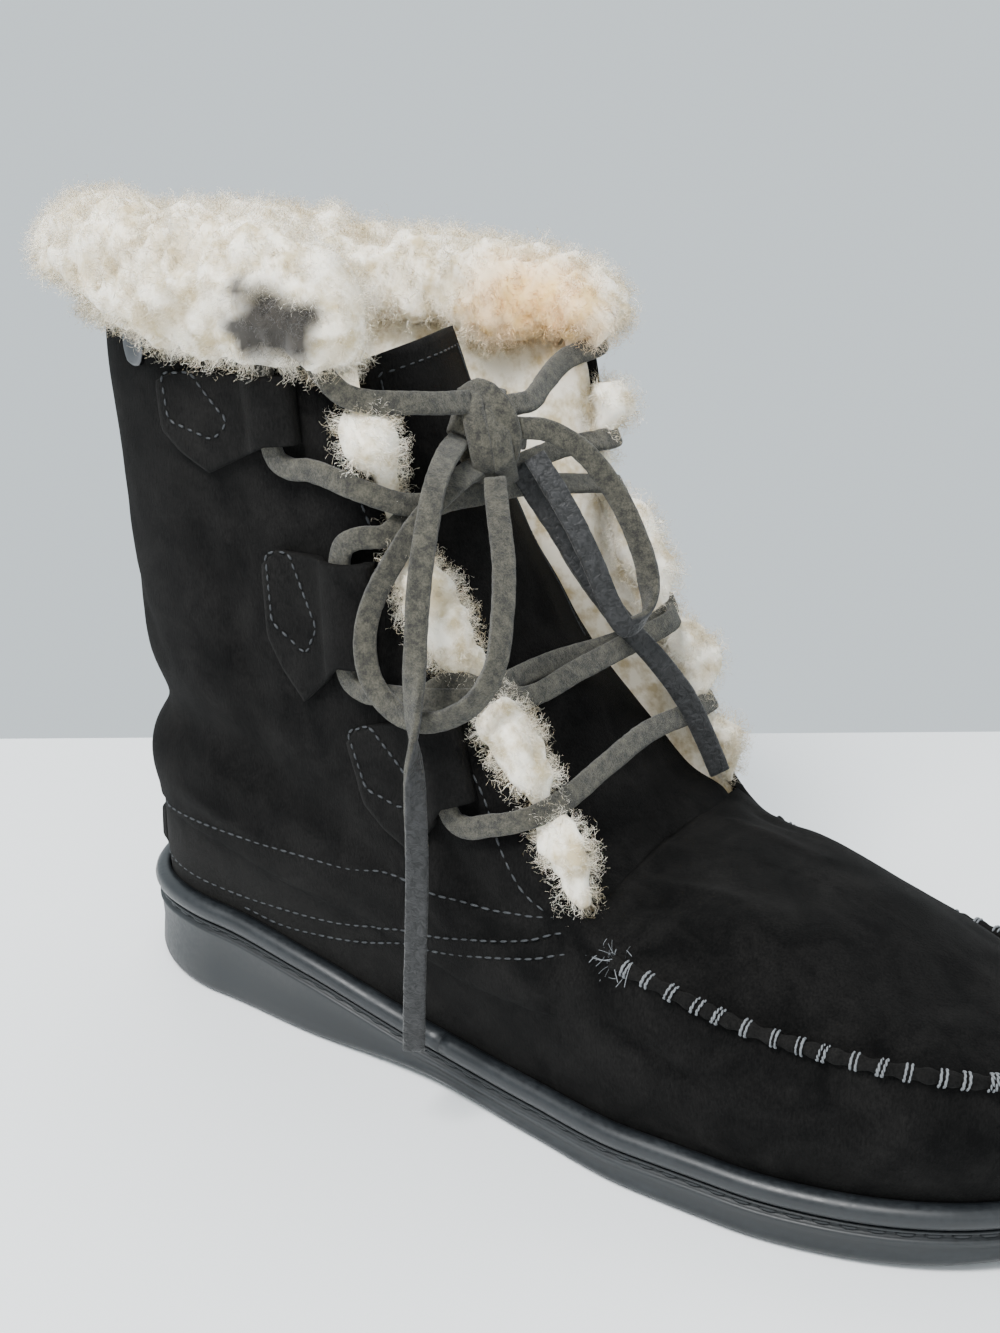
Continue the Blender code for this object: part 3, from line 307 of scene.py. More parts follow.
@dataclass(frozen=True)
class Thong:
    """Cut suede thong: one face rough and olive grey with a loose nap, the other smooth, dark and
    wrinkled across; the attribute face tells them apart."""

    name: str = "lace_thong"
    rough: str = "#59564a"
    rough_dark: str = "#252420"
    smooth: str = "#0d0e0e"
    smooth_light: str = "#2b2b2c"
    nap_mm: float = 0.45
    blot_mm: float = 2.2
    wrinkle_mm: float = 1.6
    relief_mm: float = 0.6

    def build(self) -> bpy.types.Material:
        """Return the material."""
        material, tree, shader = blank_material(self.name, {"Sheen Weight": 0.15, "Specular IOR Level": 0.3})
        place = object_place(tree)
        nap = grain(tree, place, self.nap_mm, 6.0, 0.75)
        fine = product(tree, nap, grain(tree, place, self.blot_mm, 4.0, 0.7))
        rough = two_tones(tree, fine, (0.17, 0.36), (self.rough_dark, self.rough))
        wave = grain(tree, place, self.wrinkle_mm, 3.0, 0.5, 1.2)
        smooth = two_tones(tree, wave, (0.35, 0.68), (self.smooth, self.smooth_light))
        face = marking(tree, "face")
        mix = node(tree, "ShaderNodeMix", {0: face, 6: rough, 7: smooth}, data_type="RGBA")
        tree.links.new(mix.outputs[2], shader.inputs["Base Color"])
        gloss = node(tree, "ShaderNodeMapRange", {"Value": face}, {"To Min": 0.93, "To Max": 0.55})
        tree.links.new(gloss.outputs[0], shader.inputs["Roughness"])
        height = node(tree, "ShaderNodeMix", {0: face, 2: nap, 3: wave}).outputs[0]
        raise_grain(tree, shader, height, 1.0, self.relief_mm)
        return material


@dataclass(frozen=True)
class Thread:
    """Waxed sewing thread: matt, with a slight twist that breaks its light."""

    name: str = "sewing_thread"
    colour: str = "#2b2e31"
    roughness: float = 0.6
    twist_mm: float = 1.1111
    shade: float = 0.75

    def build(self) -> bpy.types.Material:
        """Return the material."""
        material, tree, shader = blank_material(self.name, {"Roughness": self.roughness})
        twist = node(tree, "ShaderNodeTexWave", {"Vector": object_place(tree)}, {
            "Scale": 1 / (MM * self.twist_mm), "Distortion": 2.0}, bands_direction="DIAGONAL").outputs["Fac"]
        full = linear(self.colour)
        dim = tuple(self.shade * v for v in full[:3]) + (1.0,)
        tone = node(tree, "ShaderNodeMix", {0: twist}, {6: dim, 7: full}, data_type="RGBA")
        tree.links.new(tone.outputs[2], shader.inputs["Base Color"])
        raise_grain(tree, shader, twist, 0.3, 0.1)
        return material


@dataclass(frozen=True)
class Plate:
    """Satin silver plate: cast zinc alloy, tumbled, so its gloss is broken and its edges are brighter."""

    name: str = "badge_plate"
    colour: str = "#5b5c5e"
    brush_mm: float = 0.66667

    def build(self) -> bpy.types.Material:
        """Return the material."""
        silver = {"Base Color": linear(self.colour), "Metallic": 1.0}
        material, tree, shader = blank_material(self.name, silver)
        brush = grain(tree, object_place(tree), self.brush_mm, 3.0)
        rough = node(tree, "ShaderNodeMapRange", {"Value": brush}, {"To Min": 0.22, "To Max": 0.42})
        tree.links.new(rough.outputs[0], shader.inputs["Roughness"])
        raise_grain(tree, shader, brush, 0.08, 0.1)
        return material


def unit(ways: np.ndarray) -> np.ndarray:
    """Return vectors scaled to a length of 1 along the last axis."""
    return ways / np.linalg.norm(ways, axis=-1, keepdims=True)


def heading(points: np.ndarray) -> np.ndarray:
    """Return the way along a line at each of its points."""
    return unit(np.gradient(points, axis=0))


def arc_length(points: np.ndarray) -> np.ndarray:
    """Return how far along a line each of its points lies."""
    return np.concatenate([[0.0], np.cumsum(np.linalg.norm(np.diff(points, axis=0), axis=1))])


def monotone(places: np.ndarray, values: np.ndarray, at: np.ndarray) -> np.ndarray:
    """Return the cubic through points that keeps each rise and fall.

    Args:
        places: Rising positions of the points.
        values: The points' values.
        at: Positions to read.

    Returns:
        The values there.
    """
    widths = np.diff(places)
    slopes = np.diff(values) / widths
    tangents = np.empty_like(values)
    tangents[0] = slopes[0]
    tangents[-1] = slopes[-1]
    mean = 0.5 * (slopes[:-1] + slopes[1:])
    limit = 3.0 * np.minimum(np.abs(slopes[:-1]), np.abs(slopes[1:]))
    same = slopes[:-1] * slopes[1:] > 0
    tangents[1:-1] = np.where(same, np.sign(mean) * np.minimum(np.abs(mean), limit), 0.0)
    at = np.clip(at, places[0], places[-1])
    i = np.clip(np.searchsorted(places, at) - 1, 0, len(widths) - 1)
    t = (at - places[i]) / widths[i]
    return cubic(values[i], widths[i] * tangents[i], values[i + 1], widths[i] * tangents[i + 1], t)


def cubic(start: Values, leave: Values, stop: Values, arrive: Values, t: Values) -> Values:
    """Return the cubic from start to stop with the tangents leave and arrive, at t."""
    first = (2 * t**3 - 3 * t**2 + 1) * start + (t**3 - 2 * t**2 + t) * leave
    return first + (3 * t**2 - 2 * t**3) * stop + (t**3 - t**2) * arrive


def ramp(low: Values, high: Values, value: Values) -> np.ndarray:
    """Return 0 below low, 1 above high, and a smooth step between."""
    t = np.clip((np.asarray(value, dtype=float) - low) / (high - low), 0.0, 1.0)
    return t * t * (3 - 2 * t)


def through(table: Sequence, column: int, at: Values, mirror: int | None = None) -> np.ndarray:
    """Return a smooth curve through a table's column.

    Args:
        table: Rows, the first column being the position.
        column: The column to read.
        at: Positions to read.
        mirror: 1 or -1 to carry the table on past both ends as an even or odd curve.

    Returns:
        The values there.
    """
    rows = np.array(table, dtype=float)
    places = rows[:, 0]
    values = rows[:, column]
    if mirror is not None:
        places = np.concatenate(([2 * places[0] - places[1]], places, [2 * places[-1] - places[-2]]))
        values = np.concatenate(([mirror * values[1]], values, [mirror * values[-2]]))
    return monotone(places, values, np.asarray(at, dtype=float))


def flowing(knots: np.ndarray, values: np.ndarray, at: np.ndarray) -> np.ndarray:
    """Return a smooth curve through values at knots, at the places given.

    Args:
        knots: Rising positions of the values.
        values: The values at the knots.
        at: Positions to read.

    Returns:
        The values there.
    """
    slopes = np.diff(values) / np.diff(knots)
    tangents = np.concatenate([[slopes[0]], 0.5 * (slopes[:-1] + slopes[1:]), [slopes[-1]]])
    i = np.clip(np.searchsorted(knots, at) - 1, 0, len(knots) - 2)
    width = knots[i + 1] - knots[i]
    t = (at - knots[i]) / width
    return cubic(values[i], width * tangents[i], values[i + 1], width * tangents[i + 1], t)


def trace(knots: np.ndarray, points: np.ndarray, at: np.ndarray) -> np.ndarray:
    """Return a smooth line's points at the places given, through points at knots."""
    return np.stack([flowing(knots, points[:, k], at) for k in range(points.shape[1])], axis=1)


def smooth_line(points: np.ndarray, step: float) -> np.ndarray:
    """Return a smooth line through points, with about step between its points.

    Args:
        points: The line's way points.
        step: Way between points.

    Returns:
        The line's points.
    """
    points = np.asarray(points, dtype=float)
    knots = arc_length(points)
    return trace(knots, points, np.linspace(0.0, knots[-1], max(4, int(knots[-1] / step) + 1)))


def read_off(at: np.ndarray, arc: np.ndarray, values: np.ndarray) -> np.ndarray:
    """Return points or ways of a line at lengths along it."""
    return np.stack([np.interp(at, arc, values[:, k]) for k in range(values.shape[1])], axis=-1)


def swollen(rings: np.ndarray, centres: np.ndarray, lift: np.ndarray) -> np.ndarray:
    """Return rings with each point moved away from its ring's centre by its lift.

    Args:
        rings: Rings of points.
        centres: The rings' centres.
        lift: How far each point moves.

    Returns:
        The moved rings.
    """
    outward = rings - centres
    outward /= np.linalg.norm(outward, axis=2, keepdims=True) + 1e-9
    return rings + outward * lift[..., None]


def value_noise(points: np.ndarray, size: float, seed: int) -> np.ndarray:
    """Return smooth noise between -1 and 1 from a hashed lattice.

    Args:
        points: Points, the last axis being x, y and z.
        size: The lattice's pitch.
        seed: Picks another pattern.

    Returns:
        One value for each point.
    """
    scaled = np.asarray(points, dtype=float) / size
    cell = np.floor(scaled).astype(np.int64)
    part = scaled - cell
    part = part * part * (3 - 2 * part)
    total = np.zeros(scaled.shape[:-1])
    for corner in range(8):
        step = np.array([corner & 1, (corner >> 1) & 1, (corner >> 2) & 1])
        key = cell + step
        mixed = key[..., 0] * 374761393 + key[..., 1] * 668265263
        mixed = mixed + key[..., 2] * 2147483647 + seed * 974634777
        mixed = (mixed ^ (mixed >> 13)) * 1274126177
        mixed = (mixed ^ (mixed >> 16)) & 0xFFFF
        weight = np.prod(np.where(step, part, 1 - part), axis=-1)
        total += weight * (mixed / 32767.5 - 1)
    return total


@dataclass
class Last:
    """The boot's form: the same functions and sizes as the CAD part's."""

    length: float = 0.275
    ball_width: float = 0.092
    sole_heel: float = 0.0285
    sole_front: float = 0.0165
    instep_height: float = 0.065
    shaft_height: float = 0.190
    heel_round: float = 0.040
    toe_round: dict = field(default_factory=lambda: {Side.OUTER: 0.075, Side.INNER: 0.062})
    toe_spring: float = 0.0035
    arch_lift: float = 0.0015
    shaft_lean: float = 0.005
    shaft_tilt: float = 0.006
    shaft_twist: float = 0.012
    seam_drop: float = 0.006
    seam_shift: float = 0.004
    wall: float = 0.0024
    clearance: float = 0.0004
    gap: float = 0.0009
    welt_height: float = 0.0055
    welt_reach: float = 0.0034
    quarter_step: float = 0.0010
    apron_row: float = 7.0
    rim_share: float = 0.05
    side_share: float = 0.475
    last_row: int = 11
    shift: Vector = field(default_factory=Vector)

    plan = (
        (0.000, 0.375, 0.365), (0.145, 0.375, 0.365), (0.255, 0.398, 0.352), (0.400, 0.410, 0.335),
        (0.527, 0.468, 0.395), (0.636, 0.522, 0.455), (0.727, 0.525, 0.475), (0.820, 0.515, 0.475),
        (1.000, 0.505, 0.475),
    )
    heights = (
        (0.000, 0.74, 0.0, 0.00), (0.110, 1.00, 0.0, 0.00), (0.255, 0.71, 0.0, 0.00),
        (0.400, 0.04, 1.0, 0.00), (0.550, -0.08, 0.0, 0.00), (0.730, 0.02, 0.0, 0.00),
        (0.860, 0.02, 0.0, 0.12), (1.000, -0.06, 0.0, 1.00),
    )
    sections = (
        (0.000, 0.036, 0.000, 1.30, 0.000, 0.000, 0.952, 1.0, 0.0),
        (0.045, 0.062, 0.262, 1.32, 0.042, 0.312, 0.952, 1.0, 0.0),
        (0.145, 0.150, 0.386, 1.36, 0.145, 0.445, 0.952, 1.5, 0.0),
        (0.250, 0.252, 0.412, 1.40, 0.250, 0.475, 0.952, 2.0, 0.0),
        (0.360, 0.352, 0.430, 1.44, 0.345, 0.445, 0.952, 2.0, 0.0),
        (0.455, 0.440, 0.452, 1.12, 0.415, 0.400, 0.570, 2.0, 0.5),
        (0.540, 0.530, 0.466, 0.95, 0.516, 0.405, 0.240, 2.5, 0.5),
        (0.610, 0.610, 0.468, 0.88, 0.576, 0.420, 0.000, 3.0, 0.5),
        (0.730, 0.738, 0.456, 0.74, 0.578, 0.285, 0.014, 3.5, 4.5),
        (0.855, 0.868, 0.398, 0.71, 0.578, 0.170, 0.020, 3.5, 7.0),
        (0.953, 0.943, 0.240, 0.65, 0.578, 0.080, 0.024, 3.5, 8.0),
        (1.000, 0.962, 0.000, 0.62, 0.578, 0.000, 0.026, 3.5, 8.0),
    )
    folds = (
        (0, -2.2, 0.610, 2.8, 0.500, 8.0, -4.5),
        (0, -1.6, 0.460, 1.9, 0.430, 14.0, 2.2),
        (-1, 2.2, 0.520, 4.0, 0.420, 6.0, -1.6),
        (1, 2.2, 0.540, 4.0, 0.440, 6.0, -1.8),
        (-1, 4.6, 0.620, 5.6, 0.500, 7.0, -1.4),
        (-1, 8.0, 0.800, 11.0, 0.760, 9.0, 1.6),
        (1, 8.0, 0.820, 11.0, 0.780, 9.0, 1.4),
        (-1, 9.0, 0.660, 11.0, 0.660, 7.0, -1.2),
        (1, 9.0, 0.660, 11.0, 0.660, 7.0, -1.2),
    )

    def half_width(self, x: Values, side: Side) -> np.ndarray:
        """Return the sole's half width at x, on one side.

        Args:
            x: Places along the boot.
            side: Which side of the boot.

        Returns:
            The half widths.
        """
        share = np.clip(x / self.length, 0.0, 1.0)
        heel = np.clip(1 - x / self.heel_round, 0.0, 1.0)
        toe = np.clip(1 - (self.length - x) / self.toe_round[side], 0.0, 1.0)
        ends = np.sqrt(np.clip(1 - heel**2, 0.0, 1.0)) * np.sqrt(np.clip(1 - toe**2, 0.0, 1.0))
        return self.ball_width * through(self.plan, 1 if side is Side.OUTER else 2, share) * ends

    def sole_top(self, x: Values) -> np.ndarray:
        """Return the height of the welt's top edge at x.

        Args:
            x: Places along the boot.

        Returns:
            The heights.
        """
        share = np.clip(x / self.length, 0.0, 1.0)
        wedge = (self.sole_heel - self.sole_front) * through(self.heights, 1, share)
        return self.sole_front + wedge + 0.6 * self.toe_spring * through(self.heights, 3, share)

    def sole_bottom(self, x: Values) -> np.ndarray:
        """Return the height of the sole's lower edge at x.

        Args:
            x: Places along the boot.

        Returns:
            The heights.
        """
        share = np.clip(x / self.length, 0.0, 1.0)
        arch = self.arch_lift * through(self.heights, 2, share)
        return arch + self.toe_spring * through(self.heights, 3, share)

    def seat(self, x: Values) -> np.ndarray:
        """Return the height of the outsole's upper face at x."""
        return self.sole_top(x) - self.welt_height - self.clearance

    def sole_edge(self, x: Values, side: Side, inset: float) -> tuple[np.ndarray, ...]:
        """Return points on the sole's outline moved inward by inset, and the way outward.

        Args:
            x: Places along the boot.
            side: Which side of the boot.
            inset: How far inside the outline.

        Returns:
            The points and the ways outward.
        """
        step = 0.0002 * self.length
        ahead = np.clip(x + step, 0.0, self.length)
        behind = np.clip(x - step, 0.0, self.length)
        run = ahead - behind
        rise = self.half_width(ahead, side) - self.half_width(behind, side)
        length = np.hypot(run, rise)
        out_x = -rise / length
        out_y = run / length
        at_end = self.half_width(x, side) < 1e-9
        out_x = np.where(at_end, np.where(x < 0.5 * self.length, -1.0, 1.0), out_x)
        out_y = np.where(at_end, 0.0, out_y)
        return (x - inset * out_x, side.value * (self.half_width(x, side) - inset * out_y), out_x,
                side.value * out_y)

    def rows(self) -> list:
        """Return the section table with its row number in front."""
        return [(row, *values) for row, values in enumerate(self.sections)]

    def foot_station(self, row: Values) -> np.ndarray:
        """Return x along the sole where the sections have their foot."""
        return self.length * np.clip(through(self.rows(), 1, row, 1), 0.0, 1.0)

    def row_of(self, place: float, count: int) -> tuple[float, Side]:
        """Return the section row and side at a place out of count round the boot.

        Args:
            place: The place's number.
            count: How many places there are.

        Returns:
            The row and the side.
        """
        half = count // 2
        past = place > half
        return self.last_row * (count - place if past else place) / half, Side.INNER if past else Side.OUTER

    def around(self, count: int) -> list[tuple[float, Side]]:
        """Return count rows with their side, from the heel's back round the outer side and home."""
        return [self.row_of(place, count) for place in range(count)]

    def base_skin(self, row: Values, rise: Values, side: Side) -> np.ndarray:
        """Return the upper's skin without steps or folds, at section rows and rise shares.

        Args:
            row: Section rows.
            rise: Rise shares.
            side: Which side of the boot.

        Returns:
            The points.
        """
        table = self.rows()
        row = np.asarray(row, dtype=float)
        rise = np.asarray(rise, dtype=float)
        wx, wy, out_x, out_y = self.sole_edge(self.foot_station(row), side, self.welt_reach + self.clearance)
        past_end = np.where((row < 0) | (row > self.last_row), -1.0, 1.0)
        wy = wy * past_end
        out_y = out_y * past_end
        rim = self.welt_height + self.clearance
        foot = np.stack([wx, wy, self.seat(wx) + self.clearance + rim], axis=-1)
        low = self.sole_front + (self.instep_height - self.sole_front) * through(table, 4, row, 1)
        inner = ramp(self.apron_row - 1.0, self.apron_row + 1.0, row) * (side is Side.INNER)
        middle = np.stack([
            self.length * through(table, 2, row, 1),
            side.value * self.ball_width * through(table, 3, row, -1) - self.seam_shift * inner * np.sin(
                math.pi * np.clip((self.last_row - row) / (self.last_row - self.apron_row), 0.0, 0.5)),
            low - self.seam_drop * inner * ramp(self.last_row, self.last_row - 2.0, row),
        ], axis=-1)
        climbed = through(table, 7, row, 1)
        width = through(table, 6, row, -1)
        rise_span = self.shaft_height - self.instep_height
        twist = side.value * self.shaft_twist * climbed * ramp(0.0, 4.0, row)
        tilt = side.value * self.shaft_tilt * climbed * width / self.side_share
        top = np.stack([
            self.length * through(table, 5, row, 1) + twist,
            side.value * self.ball_width * width + self.shaft_lean * climbed,
            self.instep_height + rise_span * climbed - tilt,
        ], axis=-1)
        outward = np.stack([out_x, out_y, np.zeros_like(out_x)], axis=-1)
        upward = np.zeros_like(outward)
        upward[..., 2] = 1.0
        apron = ramp(self.apron_row - 0.6, self.apron_row + 0.4, row)[..., None]
        climb = np.clip((rise - self.rim_share) / (1 - self.rim_share), 0.0, 1.0)
        below = np.clip(2 * climb, 0.0, 1.0)[..., None]
        above = np.clip(2 * climb - 1, 0.0, 1.0)[..., None]
        swell = MM * through(table, 8, row, 1)[..., None] * np.sin(math.pi * below) ** 0.8
        dome = MM * through(table, 9, row, 1)[..., None] * np.sin(math.pi * above)
        folded = foot + (middle - foot) * below + (top - middle) * above
        bend = 0.5 * (top - foot)
        first = cubic(foot, middle - foot, middle, bend, below)
        second = cubic(middle, bend, top, top - middle, above)
        curved = np.where(climb[..., None] < 0.5, first, second)
        wall = folded * apron + curved * (1 - apron)
        wall = wall + outward * swell + (upward * apron + outward * (1 - apron)) * dome
        return wall - upward * rim * (1 - np.clip(rise / self.rim_share, 0.0, 1.0))[..., None]

    def quarter_edge(self, row: Values) -> np.ndarray:
        """Return the rise share of the quarter's lower edge."""
        return 0.34 - 0.11 * ramp(0.0, 3.5, row) + 0.06 * ramp(4.0, 6.5, row)

    def fold_lift(self, folds: Sequence, row: Values, rise: Values, side: Side) -> np.ndarray:
        """Return how far a table of folds lifts the skin.

        Args:
            folds: Rows of side, start row and rise, end row and rise, half width and depth in mm.
            row: Section rows.
            rise: Rise shares.
            side: The side.

        Returns:
            The lift in metres.
        """
        lift = np.zeros(np.broadcast(row, rise).shape)
        row_run = 1.15 * self.length / self.last_row
        rise_run = 0.8 * self.shaft_height
        for fold_side, row_0, rise_0, row_1, rise_1, width, depth in folds:
            if fold_side not in (0, side.value):
                continue
            across = -side.value * row if fold_side == 0 else row
            dx = (row_1 - row_0) * row_run
            dz = (rise_1 - rise_0) * rise_run
            px = (across - row_0) * row_run
            pz = (rise - rise_0) * rise_run
            t = np.clip((px * dx + pz * dz) / (dx * dx + dz * dz), 0.0, 1.0)
            away = np.hypot(px - t * dx, pz - t * dz)
            fade = 0.35 + 0.65 * np.sin(math.pi * np.clip(t, 0.04, 0.96))
            lift += MM * depth * fade * np.exp(-((away / (MM * width)) ** 2))
        return lift

    def relief(self, row: Values, rise: Values, side: Side) -> np.ndarray:
        """Return how far steps and folds lift the skin.

        Args:
            row: Section rows.
            rise: Rise shares.
            side: Which side of the boot.

        Returns:
            The lift.
        """
        lift = self.fold_lift(self.folds, row, rise, side)
        edge = self.quarter_edge(row)
        step = ramp(edge - 0.006, edge + 0.006, rise)
        step = step * (1 - ramp(self.apron_row - 0.9, self.apron_row - 0.5, row))
        lift = lift + self.quarter_step * step
        return lift * ramp(self.rim_share, 0.14, rise) * (1 - 0.7 * ramp(0.93, 1.0, rise))

    def skin(self, row: Values, rise: Values, side: Side,
             offset: Values = 0.0) -> tuple[np.ndarray, np.ndarray]:
        """Return the upper's skin moved outward by offset, and its outward normals.

        Args:
            row: Section rows.
            rise: Rise shares.
            side: Which side of the boot.
            offset: How far outward.

        Returns:
            The points and the outward normals.
        """
        row = np.asarray(row, dtype=float)
        rise = np.asarray(rise, dtype=float)
        row, rise = np.broadcast_arrays(row, rise)
        here = self.base_skin(row, rise, side)
        d_row = self.base_skin(row + 0.02, rise, side) - self.base_skin(row - 0.02, rise, side)
        low = np.where(rise < self.rim_share, 0.0, np.clip(rise - 0.01, 0.0, 1.0))
        high = np.where(rise < self.rim_share, self.rim_share, np.clip(rise + 0.01, 0.0, 1.0))
        d_rise = self.base_skin(row, high, side) - self.base_skin(row, low, side)
        normal = unit(np.cross(d_row, d_rise) * side.value * -1.0)
        lift = self.relief(row, rise, side)[..., None] + np.asarray(offset)[..., None]
        return here + normal * lift, normal


def finish_mesh(name: str, verts: np.ndarray, faces: list, material: bpy.types.Material, last: Last,
                attributes: dict | None = None) -> bpy.types.Object:
    """Make an object from points in the boot's own frame.

    Args:
        name: The piece's name.
        verts: Points in metres.
        faces: Tuples of point numbers.
        material: The piece's material.
        last: The boot's form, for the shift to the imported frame.
        attributes: Attribute name to one value for each point.

    Returns:
        The object, linked to the scene.
    """
    mesh = bpy.data.meshes.new(name)
    placed = np.asarray(verts, dtype=float) + np.array(last.shift)
    mesh.from_pydata(placed.tolist(), [], faces)
    for key, values in (attributes or {}).items():
        data = mesh.attributes.new(key, "FLOAT", "POINT").data
        data.foreach_set("value", np.asarray(values, dtype=np.float32))
    mesh.materials.append(material)
    mesh.validate()
    bm = bmesh.new()
    bm.from_mesh(mesh)
    bmesh.ops.remove_doubles(bm, verts=bm.verts, dist=1e-7)
    bmesh.ops.recalc_face_normals(bm, faces=bm.faces)
    if bm.calc_volume(signed=True) < 0:
        bmesh.ops.reverse_faces(bm, faces=bm.faces)
    bm.to_mesh(mesh)
    bm.free()
    mesh.shade_smooth()
    return linked(name, mesh)


def linked(name: str, data: bpy.types.ID) -> bpy.types.Object:
    """Return a new object in the scene, of a mesh, lamp or camera.

    Args:
        name: The object's name.
        data: The mesh, lamp or camera.

    Returns:
        The object.
    """
    item = bpy.data.objects.new(name, data)
    bpy.context.scene.collection.objects.link(item)
    return item


def loft(rings: np.ndarray, around: bool = True, closed: bool = False,
         caps: bool = True) -> tuple[np.ndarray, list]:
    """Return the points and faces of a mesh lofted through rings.

    Args:
        rings: An array of rings of points.
        around: Whether each ring is a closed loop.
        closed: Whether the last ring joins the first.
        caps: Whether the open ends get one face each.

    Returns:
        Points and faces.
    """
    count, size, _ = rings.shape
    faces = []
    for i in range(count if closed else count - 1):
        k = (i + 1) % count
        for j in range(size if around else size - 1):
            m = (j + 1) % size
            faces.append((i * size + j, i * size + m, k * size + m, k * size + j))
    if caps and not closed:
        faces.append(tuple(range(size))[::-1])
        faces.append(tuple((count - 1) * size + j for j in range(size)))
    return rings.reshape(-1, 3), faces


class StitchSewer:
    """Sews rows of thread with one Geometry Nodes tree: a small stitch stands at each point of a
    mesh, turned by the point's own attributes along and out."""

    def __init__(self, last: Last):
        """Keep the boot's form and build the tree."""
        self.last = last
        self.tree = bpy.data.node_groups.new("stitch_row", "GeometryNodeTree")
        face = self.tree.interface
        face.new_socket("Geometry", in_out="INPUT", socket_type="NodeSocketGeometry")
        for name, value in (("Stitch Length", 0.003), ("Thread Thickness", 0.0006), ("Unevenness", 0.12)):
            face.new_socket(name, in_out="INPUT", socket_type="NodeSocketFloat").default_value = value
        face.new_socket("Seed", in_out="INPUT", socket_type="NodeSocketInt")
        face.new_socket("Thread", in_out="INPUT", socket_type="NodeSocketMaterial")
        face.new_socket("Geometry", in_out="OUTPUT", socket_type="NodeSocketGeometry")
        tree = self.tree
        given = node(tree, "NodeGroupInput").outputs
        stitch = node(tree, "GeometryNodeMeshUVSphere", inputs={"Segments": 6, "Rings": 5, "Radius": 0.5})
        size = node(tree, "ShaderNodeCombineXYZ", {
            0: given["Stitch Length"], 1: given["Thread Thickness"], 2: given["Thread Thickness"]})
        shaped = node(tree, "GeometryNodeTransform", {
            "Geometry": stitch.outputs[0], "Scale": size.outputs[0]})
        smooth = node(tree, "GeometryNodeSetShadeSmooth", {"Geometry": shaped.outputs[0]})
        dots = node(tree, "GeometryNodeMeshToPoints", {"Mesh": given["Geometry"]})
        along = node(tree, "GeometryNodeInputNamedAttribute", inputs={"Name": "along"},
                     data_type="FLOAT_VECTOR")
        out = node(tree, "GeometryNodeInputNamedAttribute", inputs={"Name": "out"}, data_type="FLOAT_VECTOR")
        turn = node(tree, "FunctionNodeAxesToRotation", {
            "Primary Axis": along.outputs["Attribute"], "Secondary Axis": out.outputs["Attribute"]},
            primary_axis="X", secondary_axis="Z")
        least = node(tree, "ShaderNodeMath", {1: given["Unevenness"]}, {0: 1.0}, operation="SUBTRACT")
        most = node(tree, "ShaderNodeMath", {1: given["Unevenness"]}, {0: 1.0}, operation="ADD")
        scale = node(tree, "FunctionNodeRandomValue", {
            "Min": least.outputs[0], "Max": most.outputs[0], "Seed": given["Seed"]})
        sown = node(tree, "GeometryNodeInstanceOnPoints", {
            "Points": dots.outputs[0], "Instance": smooth.outputs[0], "Rotation": turn.outputs[0],
            "Scale": scale.outputs[1]})
        real = node(tree, "GeometryNodeRealizeInstances", {"Geometry": sown.outputs[0]})
        dressed = node(tree, "GeometryNodeSetMaterial", {
            "Geometry": real.outputs[0], "Material": given["Thread"]})
        node(tree, "NodeGroupOutput", {0: dressed.outputs[0]})

    def sew(self, name: str, spots: list, length: float, thickness: float, material: bpy.types.Material,
            seed: int, unevenness: float = 0.12) -> bpy.types.Object:
        """Sew one row.

        Args:
            name: The piece's name.
            spots: Tuples of a stitch's middle, its direction and the way out of the leather.
            length: A stitch's length.
            thickness: The thread's thickness.
            material: The thread's material.
            seed: Seed of the unevenness.
            unevenness: How much the stitches differ in size.

        Returns:
            The finished piece.
        """
        mesh = bpy.data.meshes.new(name + "_spots")
        mesh.from_pydata((np.array([s[0] for s in spots]) + np.array(self.last.shift)).tolist(), [], [])
        for key, column in (("along", 1), ("out", 2)):
            data = mesh.attributes.new(key, "FLOAT_VECTOR", "POINT").data
            data.foreach_set("vector", np.array([s[column] for s in spots], dtype=np.float32).ravel())
        holder = linked(name + "_holder", mesh)
        modifier = holder.modifiers.new("stitches", "NODES")
        modifier.node_group = self.tree
        set_inputs(modifier, {"Stitch Length": length, "Thread Thickness": thickness,
                              "Unevenness": unevenness,
                              "Seed": seed, "Thread": material})
        return bake(holder, name, material)


def set_inputs(modifier: bpy.types.Modifier, values: dict) -> None:
    """Set a Geometry Nodes modifier's inputs by their sockets' identifiers.

    Args:
        modifier: The modifier.
        values: Values by the inputs' names.
    """
    for item in modifier.node_group.interface.items_tree:
        if item.item_type == "SOCKET" and item.in_out == "INPUT" and item.name in values:
            modifier[item.identifier] = values[item.name]


def bake(holder: bpy.types.Object, name: str, material: bpy.types.Material) -> bpy.types.Object:
    """Turn an object with a Geometry Nodes modifier into a plain mesh and remove the holder.

    Args:
        holder: The object with the modifier.
        name: The finished piece's name.
        material: The material that the mesh gets where it has none.

    Returns:
        The finished piece.
    """
    bpy.context.view_layer.update()
    evaluated = holder.evaluated_get(bpy.context.evaluated_depsgraph_get())
    mesh = bpy.data.meshes.new_from_object(evaluated)
    mesh.name = name
    if not mesh.materials:
        mesh.materials.append(material)
    bpy.data.objects.remove(holder, do_unlink=True)
    return linked(name, mesh)


